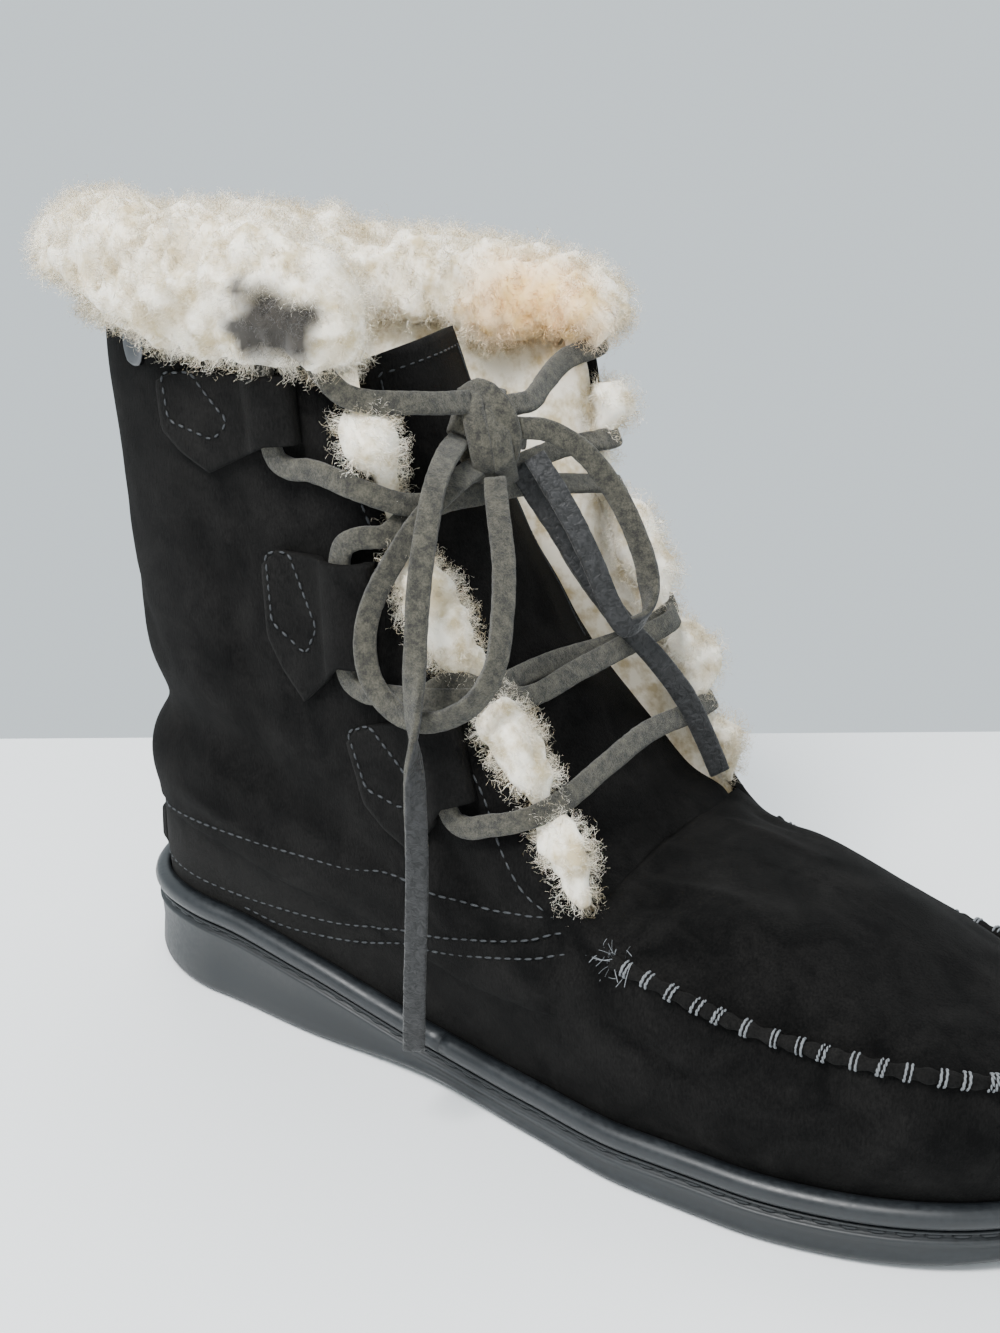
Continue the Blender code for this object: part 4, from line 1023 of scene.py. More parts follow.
class WoolGrower:
    """Grows locks of curly wool on a surface with one Geometry Nodes tree."""

    def __init__(self, last: Last):
        """Keep the boot's form, curl the locks and build the tree."""
        self.last = last
        self.locks = bpy.data.collections.new("wool_locks")
        for seed in range(5):
            self.locks.objects.link(self.curl(seed))
        tree = bpy.data.node_groups.new("wool_locks", "GeometryNodeTree")
        self.tree = tree
        face = tree.interface
        face.new_socket("Geometry", in_out="INPUT", socket_type="NodeSocketGeometry")
        for name, value in (("Locks per Square Metre", 400000.0), ("Spread", 0.7)):
            face.new_socket(name, in_out="INPUT", socket_type="NodeSocketFloat").default_value = value
        face.new_socket("Seed", in_out="INPUT", socket_type="NodeSocketInt")
        face.new_socket("Locks", in_out="INPUT", socket_type="NodeSocketCollection")
        face.new_socket("Wool", in_out="INPUT", socket_type="NodeSocketMaterial")
        face.new_socket("Geometry", in_out="OUTPUT", socket_type="NodeSocketGeometry")
        given = node(tree, "NodeGroupInput").outputs
        thick = node(tree, "GeometryNodeInputNamedAttribute", inputs={"Name": "thick"}, data_type="FLOAT")
        density = node(tree, "ShaderNodeMath", {
            0: given["Locks per Square Metre"], 1: thick.outputs["Attribute"]}, operation="MULTIPLY")
        sown = node(tree, "GeometryNodeDistributePointsOnFaces", {
            "Mesh": given["Geometry"], "Density": density.outputs[0], "Seed": given["Seed"]})
        jitter = node(tree, "FunctionNodeRandomValue", {
            "Seed": given["Seed"]}, {0: (-1.0, -1.0, -1.0), 1: (1.0, 1.0, 1.0)}, data_type="FLOAT_VECTOR")
        bent = node(tree, "ShaderNodeVectorMath", {0: jitter.outputs[0], "Scale": given["Spread"]},
                    operation="SCALE")
        comb = node(tree, "GeometryNodeInputNamedAttribute", inputs={"Name": "comb"},
                    data_type="FLOAT_VECTOR")
        leaning = node(tree, "ShaderNodeVectorMath", {
            0: sown.outputs["Normal"], 1: comb.outputs["Attribute"]}, operation="ADD")
        aim = node(tree, "ShaderNodeVectorMath", {0: leaning.outputs[0], 1: bent.outputs[0]}, operation="ADD")
        turned = node(tree, "FunctionNodeAlignRotationToVector", {"Vector": aim.outputs[0]}, axis="Z")
        spin = node(tree, "FunctionNodeRandomValue", {"Seed": given["Seed"]}, {2: 0.0, 3: 6.283},
                    data_type="FLOAT")
        about = node(tree, "FunctionNodeAxisAngleToRotation", {"Angle": spin.outputs[1]},
                     {"Axis": (0.0, 0.0, 1.0)})
        whole = node(tree, "FunctionNodeRotateRotation", {
            0: turned.outputs[0], 1: about.outputs[0]}, rotation_space="LOCAL")
        grade = node(tree, "FunctionNodeRandomValue", {"Seed": given["Seed"]}, {2: 0.65, 3: 1.25},
                     data_type="FLOAT")
        forms = node(tree, "GeometryNodeCollectionInfo", {"Collection": given["Locks"]},
                     {"Separate Children": True, "Reset Children": True})
        grown = node(tree, "GeometryNodeInstanceOnPoints", {
            "Points": sown.outputs[0], "Instance": forms.outputs[0], "Rotation": whole.outputs[0],
            "Scale": grade.outputs[1]}, {"Pick Instance": True})
        real = node(tree, "GeometryNodeRealizeInstances", {"Geometry": grown.outputs[0]})
        dressed = node(tree, "GeometryNodeSetMaterial", {
            "Geometry": real.outputs[0], "Material": given["Wool"]})
        node(tree, "NodeGroupOutput", {0: dressed.outputs[0]})

    def curl(self, seed: int) -> bpy.types.Object:
        """Return one lock: a few fine fibres that curl together.

        Args:
            seed: Picks the lock's curl.

        Returns:
            The lock, standing on its root along +Z.
        """
        rng = np.random.default_rng(seed)
        verts, faces = [], []
        for _ in range(6):
            root = rng.normal(0.0, 0.55, 2) * MM
            lean = rng.normal(0.0, 0.9, 2) * MM
            phase = rng.uniform(0.0, 2 * math.pi)
            turns = rng.uniform(0.6, 1.3)
            radius = rng.uniform(0.45, 0.90) * MM
            height = rng.uniform(3.6, 5.6) * MM
            steps = 6
            for i in range(steps + 1):
                t = i / steps
                angle = phase + 2 * math.pi * turns * t
                swing = radius * (0.25 + t)
                x = root[0] + lean[0] * t + swing * math.cos(angle)
                y = root[1] + lean[1] * t + swing * math.sin(angle)
                z = height * (t - 0.28 * t * t)
                wide = 0.11 * MM * (1 - 0.5 * t)
                across = np.array([-math.sin(angle), math.cos(angle), 0.8])
                across = across / np.linalg.norm(across) * wide
                verts.append((x - across[0], y - across[1], z - across[2]))
                verts.append((x + across[0], y + across[1], z + across[2]))
                if i:
                    n = len(verts)
                    faces.append((n - 4, n - 3, n - 1, n - 2))
        mesh = bpy.data.meshes.new(f"lock_{seed}")
        mesh.from_pydata(verts, [], faces)
        mesh.shade_smooth()
        return bpy.data.objects.new(f"lock_{seed}", mesh)

    def grow(self, name: str, skin: bpy.types.Object, per_square_metre: float, spread: float,
             material: bpy.types.Material, seed: int) -> bpy.types.Object:
        """Grow locks on a surface.

        Args:
            name: The piece's name.
            skin: The surface, with the point attributes thick and comb.
            per_square_metre: Locks on a square metre where thick is 1.
            spread: How far they stray from the surface's normal.
            material: The wool.
            seed: Seed of the whole growth.

        Returns:
            The finished piece.
        """
        holder = linked(name + "_holder", skin.data.copy())
        modifier = holder.modifiers.new("wool", "NODES")
        modifier.node_group = self.tree
        set_inputs(modifier, {"Locks per Square Metre": per_square_metre, "Spread": spread,
                              "Seed": seed, "Locks": self.locks, "Wool": material})
        return bake(holder, name, material)

    def put_away(self) -> None:
        """Remove the lock forms once everything has grown."""
        for form in list(self.locks.objects):
            bpy.data.objects.remove(form, do_unlink=True)
        bpy.data.collections.remove(self.locks)


@dataclass
class SoleUnit:
    """The moulded sole and the band round the upper's foot."""

    last: Last
    around: int = 240
    stitch_pitch: float = 0.0062
    groove_depth: float = 0.0012
    joint_row: float = 4.65
    joint_gap: float = 0.022

    wall_profile = (
        (3.4, 0.0, 0.0), (2.2, 0.0, 0.08), (0.8, 0.0, 0.9), (0.2, 0.0, 1.8), (0.0, 0.0, 2.8), (0.3, 0.3, 0.0),
        (0.7, 0.5, 0.0), (0.4, 1.0, -4.2), (0.0, 1.0, -3.1), (0.0, 1.0, -2.5), (0.6, 1.0, -2.3),
        (1.4, 1.0, -2.0),
        (1.6, 1.0, -1.4), (1.2, 1.0, -0.8), (0.4, 1.0, -0.5), (0.3, 1.0, -0.1), (1.0, 1.0, 0.0),
    )
    band_profile = (
        (3.4, 0.0), (1.4, 0.0), (0.4, 0.3), (-0.4, 1.2), (-0.8, 2.2), (-0.9, 3.2), (-0.6, 4.2), (0.0, 5.0),
        (1.0, 5.5), (2.0, 5.7), (3.4, 5.6),
    )

    def ring(self, inset: float, height: Callable[[float], float]) -> np.ndarray:
        """Return a ring round the sole at an inset, at the height that height(x) gives.

        Args:
            inset: How far inside the outline.
            height: Gives the height at places x.

        Returns:
            The ring.
        """
        points = []
        for row, side in self.last.around(self.around):
            x = self.last.foot_station(np.array([row]))
            px, py, _, _ = self.last.sole_edge(x, side, inset)
            points.append((px[0], py[0], float(height(px[0]))))
        return np.array(points)

    def outsole(self, material: bpy.types.Material) -> bpy.types.Object:
        """Return the sole with its bevelled foot, hollowed side, stitch groove and tread.

        Args:
            material: The rubber.

        Returns:
            The piece.
        """
        last = self.last
        rings = np.array([
            self.ring(MM * inset, lambda x: (
                (1 - share) * last.sole_bottom(x) + share * last.seat(x) + MM * above))
            for inset, share, above in self.wall_profile
        ])
        return finish_mesh("sole_unit", *loft(rings), material, last)

    def band(self, material: bpy.types.Material) -> bpy.types.Object:
        """Return the band: smooth, rounded, its ends butted at the outer side's waist.

        Args:
            material: The rubber.

        Returns:
            The piece.
        """
        last = self.last
        first = self.joint_row * (self.around // 2) / last.last_row + self.joint_gap
        final = first + self.around
        marks = [first]
        marks += [mark for mark in range(2 * self.around) if first + 0.5 < mark < final - 1.0]
        marks += [final - 2 * self.joint_gap]
        rings = []
        for mark in marks:
            row, side = last.row_of(mark % self.around, self.around)
            x = last.foot_station(np.array([row]))
            ring = []
            for inset, height in self.band_profile:
                px, py, _, _ = last.sole_edge(x, side, MM * inset)
                ring.append((px[0], py[0], float(last.seat(px[0])) + last.clearance + MM * height))
            rings.append(ring)
        return finish_mesh("foot_band", *loft(np.array(rings)), material, last)

    def groove_stitches(self, sewer: StitchSewer, material: bpy.types.Material) -> bpy.types.Object:
        """Return the moulded stitches that lie in the groove below the band.

        Args:
            sewer: Lays the stitches.
            material: The rubber.

        Returns:
            The piece.
        """
        line = self.ring(self.groove_depth, lambda x: self.last.seat(x) - 0.0014)
        line = smooth_line(np.concatenate([line, line[:1]]), self.stitch_pitch)
        along = heading(line)
        spots = list(zip(line[:-1], along, np.cross(along, (0, 0, 1.0))))
        return sewer.sew("groove_stitches", spots, 0.0046, 0.0011, material, seed=3, unevenness=0.05)


@dataclass
class Upper:
    """The suede upper: quarters, vamp and apron in one shell, with its lining."""

    last: Last
    around: int = 340
    up: int = 86

    soft_folds = (
        (-1, 0.9, 0.72, 1.6, 0.62, 3.0, -0.7),
        (-1, 2.5, 0.80, 2.9, 0.58, 4.0, -0.7),
        (-1, 3.3, 0.74, 3.0, 0.52, 3.5, 0.6),
        (-1, 1.5, 0.40, 2.8, 0.34, 4.0, 0.7),
        (-1, 3.8, 0.40, 5.0, 0.36, 3.0, -0.6),
        (-1, 5.2, 0.40, 6.3, 0.52, 3.2, -0.9),
        (-1, 5.8, 0.30, 6.9, 0.44, 3.6, 0.8),
        (-1, 7.0, 0.36, 7.8, 0.30, 3.0, -0.8),
        (-1, 7.9, 0.42, 8.6, 0.30, 3.0, -0.6),
        (-1, 9.2, 0.42, 9.9, 0.28, 3.4, -0.5),
        (-1, 7.6, 0.92, 8.6, 0.86, 4.0, -1.0),
        (-1, 8.6, 0.95, 9.6, 0.84, 4.0, 0.9),
        (1, 7.8, 0.90, 9.0, 0.84, 4.0, -1.0),
        (1, 9.0, 0.94, 10.0, 0.84, 4.0, 0.8),
        (1, 1.0, 0.66, 2.6, 0.56, 3.6, -0.8),
        (1, 2.8, 0.44, 4.4, 0.38, 3.6, -0.7),
        (1, 5.0, 0.40, 6.4, 0.50, 3.4, -0.8),
        (1, 7.2, 0.38, 8.4, 0.30, 3.4, -0.7),
        (0, -1.2, 0.36, 1.2, 0.34, 4.0, -0.6),
    )

    def offsets(self, rows: Values, rises: Values, side: Side) -> np.ndarray:
        """Return the listed soft creases and the leather's own unevenness.

        Args:
            rows: Section rows.
            rises: Rise shares.
            side: Which side of the boot.

        Returns:
            The offsets.
        """
        soft = self.last.fold_lift(self.soft_folds, rows, rises, side)
        base = self.last.base_skin(rows, rises, side)
        soft = soft + 0.00035 * value_noise(base, 0.016, 5) + 0.00016 * value_noise(base, 0.006, 9)
        return soft * ramp(self.last.rim_share, 0.12, rises) * (1 - ramp(0.94, 1.0, rises))

    def wear(self, rows: np.ndarray, rises: np.ndarray) -> np.ndarray:
        """Return how rubbed the nap is: along the lower heel and side, and at the toe.

        Args:
            rows: Section rows.
            rises: Rise shares.

        Returns:
            The wear, 0 to 1.
        """
        low = (1 - ramp(0.12, 0.34, rises)) * (1 - ramp(2.0, 5.5, rows))
        toe = (1 - ramp(0.10, 0.30, rises)) * ramp(8.5, 10.5, rows)
        return np.clip(0.75 * low + 0.35 * toe, 0.0, 1.0)

    def shell(self, material: bpy.types.Material) -> bpy.types.Object:
        """Return the outer skin and the wall's inside as one closed shell.

        Args:
            material: The suede.

        Returns:
            The piece.
        """
        last = self.last
        rises = np.concatenate([[0.0, 0.98 * last.rim_share], np.linspace(last.rim_share, 1.0, self.up)[1:]])
        rings, wear = [], []
        for row, side in last.around(self.around):
            rows = np.full(len(rises), row)
            outer, _ = last.skin(rows, rises, side, self.offsets(rows, rises, side))
            inner, _ = last.skin(rows[::4], rises[::4], side, np.full(len(rises[::4]), -last.wall))
            inner[0, 2] = last.seat(inner[0, 0]) + last.clearance
            rings.append(np.concatenate([outer, inner[::-1]]))
            wear.append(np.concatenate([self.wear(rows, rises), np.zeros(len(inner))]))
        verts, faces = loft(np.array(rings), closed=True)
        return finish_mesh("suede_upper", verts, faces, material, last, {"wear": np.concatenate(wear)})


class SideMap:
    """Finds where points of the side view lie on the upper's skin."""

    def __init__(self, last: Last, side: Side):
        """Sample one side of the skin."""
        self.last = last
        self.side = side
        self.rows, self.rises = np.meshgrid(
            np.linspace(0.2, 7.4, 145), np.linspace(last.rim_share, 1.0, 96), indexing="ij")
        points, _ = last.skin(self.rows, self.rises, side)
        self.x = points[..., 0].ravel()
        self.z = points[..., 2].ravel()

    def find(self, x: np.ndarray, z: np.ndarray) -> tuple[np.ndarray, np.ndarray]:
        """Return the section rows and rise shares of the skin at each x and z.

        Args:
            x: Places along the boot.
            z: Heights.

        Returns:
            The rows and the rise shares.
        """
        last = self.last
        nearest = [np.argmin((self.x - u) ** 2 + (self.z - v) ** 2) for u, v in zip(x, z)]
        row = self.rows.ravel()[nearest]
        rise = self.rises.ravel()[nearest]
        for _ in range(5):
            here = last.skin(row, rise, self.side)[0]
            by_row = (last.skin(row + 0.01, rise, self.side)[0] - here) / 0.01
            by_rise = (here - last.skin(row, rise - 0.005, self.side)[0]) / 0.005
            miss_x = x - here[:, 0]
            miss_z = z - here[:, 2]
            scale = by_row[:, 0] * by_rise[:, 2] - by_rise[:, 0] * by_row[:, 2]
            row = np.clip(row + (miss_x * by_rise[:, 2] - by_rise[:, 0] * miss_z) / scale, 0.05, 7.6)
            climb = (by_row[:, 0] * miss_z - miss_x * by_row[:, 2]) / scale
            rise = np.clip(rise + climb, last.rim_share, 1.0)
        return row, rise

    def place(self, x: np.ndarray, z: np.ndarray, height: np.ndarray) -> tuple[np.ndarray, np.ndarray]:
        """Return the points at heights over the skin at each x and z, and the normals there.

        Args:
            x: Places along the boot.
            z: Heights.
            height: Heights over the skin.

        Returns:
            The points and the normals.
        """
        row, rise = self.find(np.asarray(x, dtype=float), np.asarray(z, dtype=float))
        here, normal = self.last.skin(row, rise, self.side)
        return here + normal * np.asarray(height, dtype=float)[:, None], normal


@dataclass
class LaceTab:
    """A suede loop sewn to the quarter, with a tunnel for the lace and a stitched diamond behind."""

    side_map: SideMap
    line: tuple
    name: str
    leather: float = 0.0015
    tunnel_width: float = 0.0115
    tunnel_height: float = 0.0042

    outline = (
        (0.00, -0.50, 0.60), (0.18, -0.20, 0.84), (0.40, 0.12, 1.00), (0.82, 0.84, 0.98), (1.00, 1.00, 0.80),
    )
    turn = ((1.0, 0.0), (4.2, 1.3), (5.9, 4.6), (6.0, 9.0))
    lines = (
        (0.273, 0.876, 0.266, 0.960, 34.0), (0.345, 0.610, 0.340, 0.742, 24.0),
        (0.451, 0.458, 0.424, 0.563, 26.0),
    )
    pad = ((0.98, 0.90), (1.02, 0.62), (0.30, 0.34), (0.02, 0.50), (0.28, 0.90))
    rings = 22
    outer_points = 34
    inner_points = 22
    rubbed_points = 4
    stitch_pitch = 0.0024

    def __post_init__(self):
        """Work out the tunnel's line and the ways along it and behind it."""
        foot_x, foot_z, head_x, head_z, reach = self.line
        self.foot = self.shifted(foot_x, foot_z)
        self.head = self.shifted(head_x, head_z)
        self.reach = reach * MM
        line = self.head - self.foot
        self.length = float(np.linalg.norm(line))
        self.up = line / self.length
        self.back = np.array([-self.up[1], self.up[0]])

    def shifted(self, share_x: float, share_z: float) -> np.ndarray:
        """Return a place of the side view, moved as the shaft's twist and tilt move it.

        Args:
            share_x: Share of the boot's length.
            share_z: Share of the shaft's height.

        Returns:
            The place's x and z.
        """
        last = self.side_map.last
        x, z = share_x * last.length, share_z * last.shaft_height
        if self.side_map.side is Side.OUTER:
            return np.array([x, z])
        climbed = (z - last.instep_height) / (last.shaft_height - last.instep_height)
        return np.array([x + 1.9 * last.shaft_twist * climbed, z - 2.0 * last.shaft_tilt * climbed])

    def place(self, spots: list) -> tuple[np.ndarray, np.ndarray]:
        """Return points and normals for spots: share of the line, way behind it, height.

        Args:
            spots: Share of the line, way behind it and height of each.

        Returns:
            The points and the normals.
        """
        share, behind, height = np.array(spots, dtype=float).T
        x = self.foot[0] + self.up[0] * self.length * share + self.back[0] * behind
        z = self.foot[1] + self.up[1] * self.length * share + self.back[1] * behind
        return self.side_map.place(x, z, height)

    def section(self, front: float, back: float, reach_share: float) -> list:
        """Return the tab's section across the tunnel, finely, over the outside and back.

        Args:
            front: Share of the line at the tunnel.
            back: Share of the line at the pad's far end.
            reach_share: Share of the tab's reach.

        Returns:
            Spots of the section.
        """
        half = 0.5 * self.tunnel_width
        gap = self.side_map.last.gap
        crown = gap + 0.88 * self.tunnel_height
        leather = self.leather
        reach = self.reach * reach_share
        outer = [
            (-half - leather, gap), (-half - 0.8 * leather, 0.62 * crown + leather),
            (-0.5 * half, crown + 0.9 * leather), (0.1 * half, crown + leather),
            (0.62 * half, 0.82 * crown + leather), (1.05 * half, 0.36 * crown + leather),
            (1.5 * half, gap + leather), (0.6 * reach + 0.4 * half, gap + 0.95 * leather),
            (reach - 0.0006, gap + 0.9 * leather), (reach, gap + 0.6 * leather),
        ]
        inner = [
            (reach, gap - 0.0006), (1.45 * half, gap - 0.0006), (half, gap + 0.2 * leather),
            (0.6 * half, 0.74 * crown), (0.1 * half, crown), (-0.5 * half, 0.94 * crown),
            (-0.85 * half, 0.55 * crown), (-0.9 * half, gap),
        ]
        fine = np.concatenate([
            self.resample(outer, self.outer_points), self.resample(inner, self.inner_points)])
        slope = (back - front) / reach
        return [(front + slope * max(behind, 0.0), behind, height) for behind, height in fine]

    @staticmethod
    def resample(points: list, count: int) -> np.ndarray:
        """Return count points of the smooth line through points.

        Args:
            points: The line's way points.
            count: How many points.

        Returns:
            The points.
        """
        points = np.array(points)
        knots = np.arange(len(points), dtype=float)
        return trace(knots, points, np.linspace(0.0, knots[-1], count))

    def body(self, material: bpy.types.Material) -> bpy.types.Object:
        """Return the tab.

        Args:
            material: The suede.

        Returns:
            The piece.
        """
        rows = np.array(self.outline)
        rings = []
        for reach_share in np.linspace(0.0, 1.0, self.rings):
            front, back, reach = (float(np.interp(reach_share, np.linspace(0, 1, len(rows)), rows[:, k]))
                                  for k in range(3))
            rings.append(self.place(self.section(front, back, reach))[0])
        rubbed = self.rubbed_points
        wear = np.concatenate([
            np.full(self.outer_points - rubbed, 0.15), np.full(rubbed, 0.8), np.zeros(self.inner_points)])
        wear = np.tile(wear, self.rings)
        return finish_mesh(self.name, *loft(np.array(rings)), material, self.side_map.last, {"wear": wear})

    def stitches(self) -> list:
        """Return the stitch spots round the pad."""
        corners = np.array([(share * self.length, behind * self.reach) for share, behind in self.pad])
        flat = []
        for a, b in zip(corners, np.roll(corners, -1, axis=0)):
            count = max(2, int(np.linalg.norm(b - a) / self.stitch_pitch))
            flat += [a + (b - a) * (k + 0.5) / count for k in range(count)]
        height = self.side_map.last.gap + self.leather + 0.1 * MM
        points, normals = self.place([(along / self.length, behind, height) for along, behind in flat])
        return list(zip(points, unit(np.roll(points, -1, axis=0) - np.roll(points, 1, axis=0)), normals))

    def lace_points(self, start: str) -> list:
        """Return the lace's points and normals from a tunnel's end to its other end.

        Args:
            start: The end to start from, foot or head.

        Returns:
            Pairs of a point and a normal.
        """
        height = self.side_map.last.gap + 0.42 * self.tunnel_height
        past = [(MM * way / self.length, -MM * front) for way, front in self.turn]
        spots = [(-share, front, height) for share, front in past[::-1]]
        spots += [(0.5, 0.0, height)]
        spots += [(1.0 + share, front, height) for share, front in past]
        pairs = list(zip(*self.place(spots)))
        return pairs if start == "foot" else pairs[::-1]


@dataclass
class LaceWork:
    """The suede thong: its bars through the tabs, and the bow with its knot, loops and ends."""

    last: Last
    width: float = 0.0054
    thickness: float = 0.0020
    ring_pitch: float = 0.0010

    bars = (
        (None, (Side.OUTER, 1, "head"), (
            (0.400, -0.124, 0.916), (0.385, -0.26, 0.928), (0.345, -0.42, 0.948))),
        ((Side.OUTER, 1, "foot"), (Side.INNER, 2, "head"), (
            (0.362, -0.428, 0.834), (0.386, -0.36, 0.815), (0.408, -0.15, 0.802), (0.414, 0.05, 0.788),
            (0.428, 0.24, 0.768), (0.442, 0.435, 0.742))),
        ((Side.INNER, 2, "foot"), (Side.OUTER, 3, "head"), (
            (0.459, 0.489, 0.562), (0.499, 0.424, 0.581), (0.520, 0.32, 0.590), (0.512, 0.14, 0.588),
            (0.500, -0.06, 0.584), (0.486, -0.28, 0.580), (0.470, -0.402, 0.608))),
        ((Side.OUTER, 3, "foot"), (Side.INNER, 3, "foot"), (
            (0.509, -0.470, 0.456), (0.528, -0.444, 0.467), (0.537, -0.376, 0.471), (0.545, -0.16, 0.486),
            (0.548, 0.04, 0.492), (0.552, 0.26, 0.478), (0.536, 0.476, 0.452))),
        ((Side.INNER, 3, "head"), (Side.OUTER, 2, "foot"), (
            (0.498, 0.446, 0.587), (0.500, 0.30, 0.575), (0.490, 0.12, 0.578), (0.474, -0.10, 0.588),
            (0.466, -0.33, 0.593), (0.470, -0.400, 0.597), (0.453, -0.446, 0.596), (0.411, -0.472, 0.588))),
        ((Side.OUTER, 2, "head"), (Side.INNER, 1, "foot"), (
            (0.384, -0.36, 0.792), (0.396, -0.15, 0.800), (0.402, 0.05, 0.806), (0.416, 0.26, 0.812),
            (0.435, 0.436, 0.808), (0.419, 0.498, 0.805))),
        ((Side.INNER, 1, "head"), None, (
            (0.403, 0.517, 0.928), (0.414, 0.455, 0.926), (0.404, 0.34, 0.920), (0.414, 0.17, 0.910),
            (0.424, 0.05, 0.902), (0.420, -0.03, 0.905), (0.410, -0.08, 0.903))),
    )
    routes = {
        "lace_knot": (
            (106.0, -8.0, 173.5), (111.0, -8.5, 176.5), (117.0, -9.0, 173.5), (119.5, -9.0, 167.0),
            (118.0, -9.0, 160.5), (113.0, -8.5, 157.5), (108.0, -8.0, 159.5), (106.6, -8.5, 166.5),
        ),
        "lace_loop_left": (
            (112.9, -12.4, 159.3), (113.5, -23.0, 158.4), (110.9, -32.7, 152.5), (108.8, -41.4, 144.4),
            (105.5, -46.0, 134.5), (105.0, -48.5, 126.0), (107.5, -50.0, 118.0), (113.0, -50.5, 112.5),
            (120.0, -50.5, 110.5), (127.5, -49.5, 112.5), (134.0, -47.0, 117.5), (137.0, -43.5, 125.0),
            (135.5, -38.0, 134.0), (131.0, -30.0, 144.0), (124.5, -22.0, 152.0), (118.5, -14.0, 157.5),
        ),
        "lace_end_left": (
            (107.4, -10.9, 165.4), (112.0, -24.0, 164.8), (115.5, -34.0, 161.5), (118.5, -42.5, 153.0),
            (120.0, -48.0, 141.5), (121.5, -52.0, 128.0), (122.5, -55.0, 114.0), (123.5, -56.5, 98.0),
            (124.0, -57.0, 80.0), (123.5, -57.5, 60.0), (122.5, -57.5, 42.0), (121.5, -57.0, 26.0),
        ),
        "lace_loop_right": (
            (119.6, -6.3, 168.0), (125.0, -1.5, 167.0), (131.8, 3.0, 162.0), (138.5, 6.0, 153.0),
            (144.0, 7.0, 143.0), (148.0, 7.0, 132.0), (149.0, 4.5, 124.0), (146.5, 0.0, 121.5),
            (143.5, -2.5, 127.0), (139.5, -4.0, 137.0), (134.0, -4.5, 147.0), (127.5, -4.5, 156.0),
            (123.0, -4.0, 161.0),
        ),
        "lace_end_right": (
            (117.5, -3.0, 157.5), (120.5, -0.5, 151.0), (126.0, 2.0, 142.0), (133.0, 4.0, 130.5),
            (141.0, 7.0, 119.5), (149.5, 10.8, 109.0), (154.0, 16.0, 99.0), (157.5, 20.2, 88.0),
            (160.5, 24.0, 76.5),
        ),
    }
    twists = {
        "lace_knot": (0, 0, 0, 0, 0, 0, 0, 0),
        "lace_loop_left": (10, 5, -10, -20, -15, 0, 10, 20, 30, 35, 30, 25, 20, 10, 0, 0),
        "lace_end_left": (0, 5, 10, 10, 5, 10, 60, 150, 178, 182, 180, 180),
        "lace_loop_right": (0, 5, 10, 15, 20, 20, 90, 150, 175, 180, 180, 180, 180),
        "lace_end_right": (180, 180, 175, 160, 178, 182, 185, 182, 180),
    }
    toward_camera = (0.495, -0.768, 0.407)
    thong_profile = (
        (-0.50, 0.0), (-0.49, 0.30), (-0.43, 0.46), (-0.25, 0.50), (0.0, 0.46), (0.25, 0.50), (0.43, 0.46),
        (0.49, 0.30), (0.50, 0.0), (0.49, -0.30), (0.43, -0.46), (0.25, -0.50), (0.0, -0.46), (-0.25, -0.50),
        (-0.43, -0.46), (-0.49, -0.30),
    )
    knot_centre = (112.8, -8.6, 166.5)
    knot_turns = (
        ((-3.2, 11.0, -6.0), (-3.6, 8.2, 2.4), (-2.9, 3.0, 5.2), (-1.6, -3.0, 5.6), (-0.6, -8.0, 3.4),
         (0.2, -11.5, -5.0)),
        ((2.0, 10.4, -6.0), (1.8, 8.0, 1.8), (2.2, 3.0, 4.6), (3.2, -3.0, 5.0), (4.2, -8.0, 2.8),
         (5.0, -11.0, -5.0)),
        ((-8.0, 2.5, -4.0), (-6.6, 2.2, 2.2), (-2.0, 0.6, 3.0), (3.5, -0.6, 3.0), (7.0, -1.0, 1.0),
         (8.6, -1.0, -4.0)),
    )

    def course(self, tabs: dict) -> list:
        """Return the points and normals of the thong from the knot through all tabs and back.

        Args:
            tabs: The lace tabs by side and number.

        Returns:
            Pairs of a point and a normal.
        """
        places = []
        for start, _, way in self.bars:
            if start is not None:
                side, number, end = start
                places += tabs[side, number].lace_points("head" if end == "foot" else "foot")
            for x, y, z in way:
                point = np.array([x * self.last.length, y * self.last.ball_width, z * self.last.shaft_height])
                places.append((point, unit(np.array([0.82, 2.4 * y, 0.5]))))
        return places

    def ribbon(self, name: str, points: np.ndarray, normals: np.ndarray,
               material: bpy.types.Material) -> bpy.types.Object:
        """Return a thong with rounded edges, a loose nap and slight waves, its rough face in front.

        Args:
            name: The piece's name.
            points: Way points in the boot's frame.
            normals: The way its face looks at each of them.
            material: The thong's leather.

        Returns:
            The piece.
        """
        knots = arc_length(points)
        at = np.linspace(0.0, knots[-1], max(12, int(knots[-1] / self.ring_pitch)))
        line = trace(knots, points, at)
        along = heading(line)
        across = unit(np.cross(along, read_off(at, knots, normals)))
        face = np.cross(across, along)
        seed = sum(map(ord, name))
        width = self.width * (1 + 0.05 * value_noise(line, 0.011, seed))
        rings = np.stack([line + across * (wide * width)[:, None] + face * thick * self.thickness
                          for wide, thick in self.thong_profile], axis=1)
        rings = swollen(rings, line[:, None, :], 0.1 * MM * value_noise(rings, 0.0011, seed + 1))
        smooth_face = [float(thick < -0.2) for _, thick in self.thong_profile]
        return finish_mesh(name, *loft(rings), material, self.last, {"face": np.tile(smooth_face, len(line))})

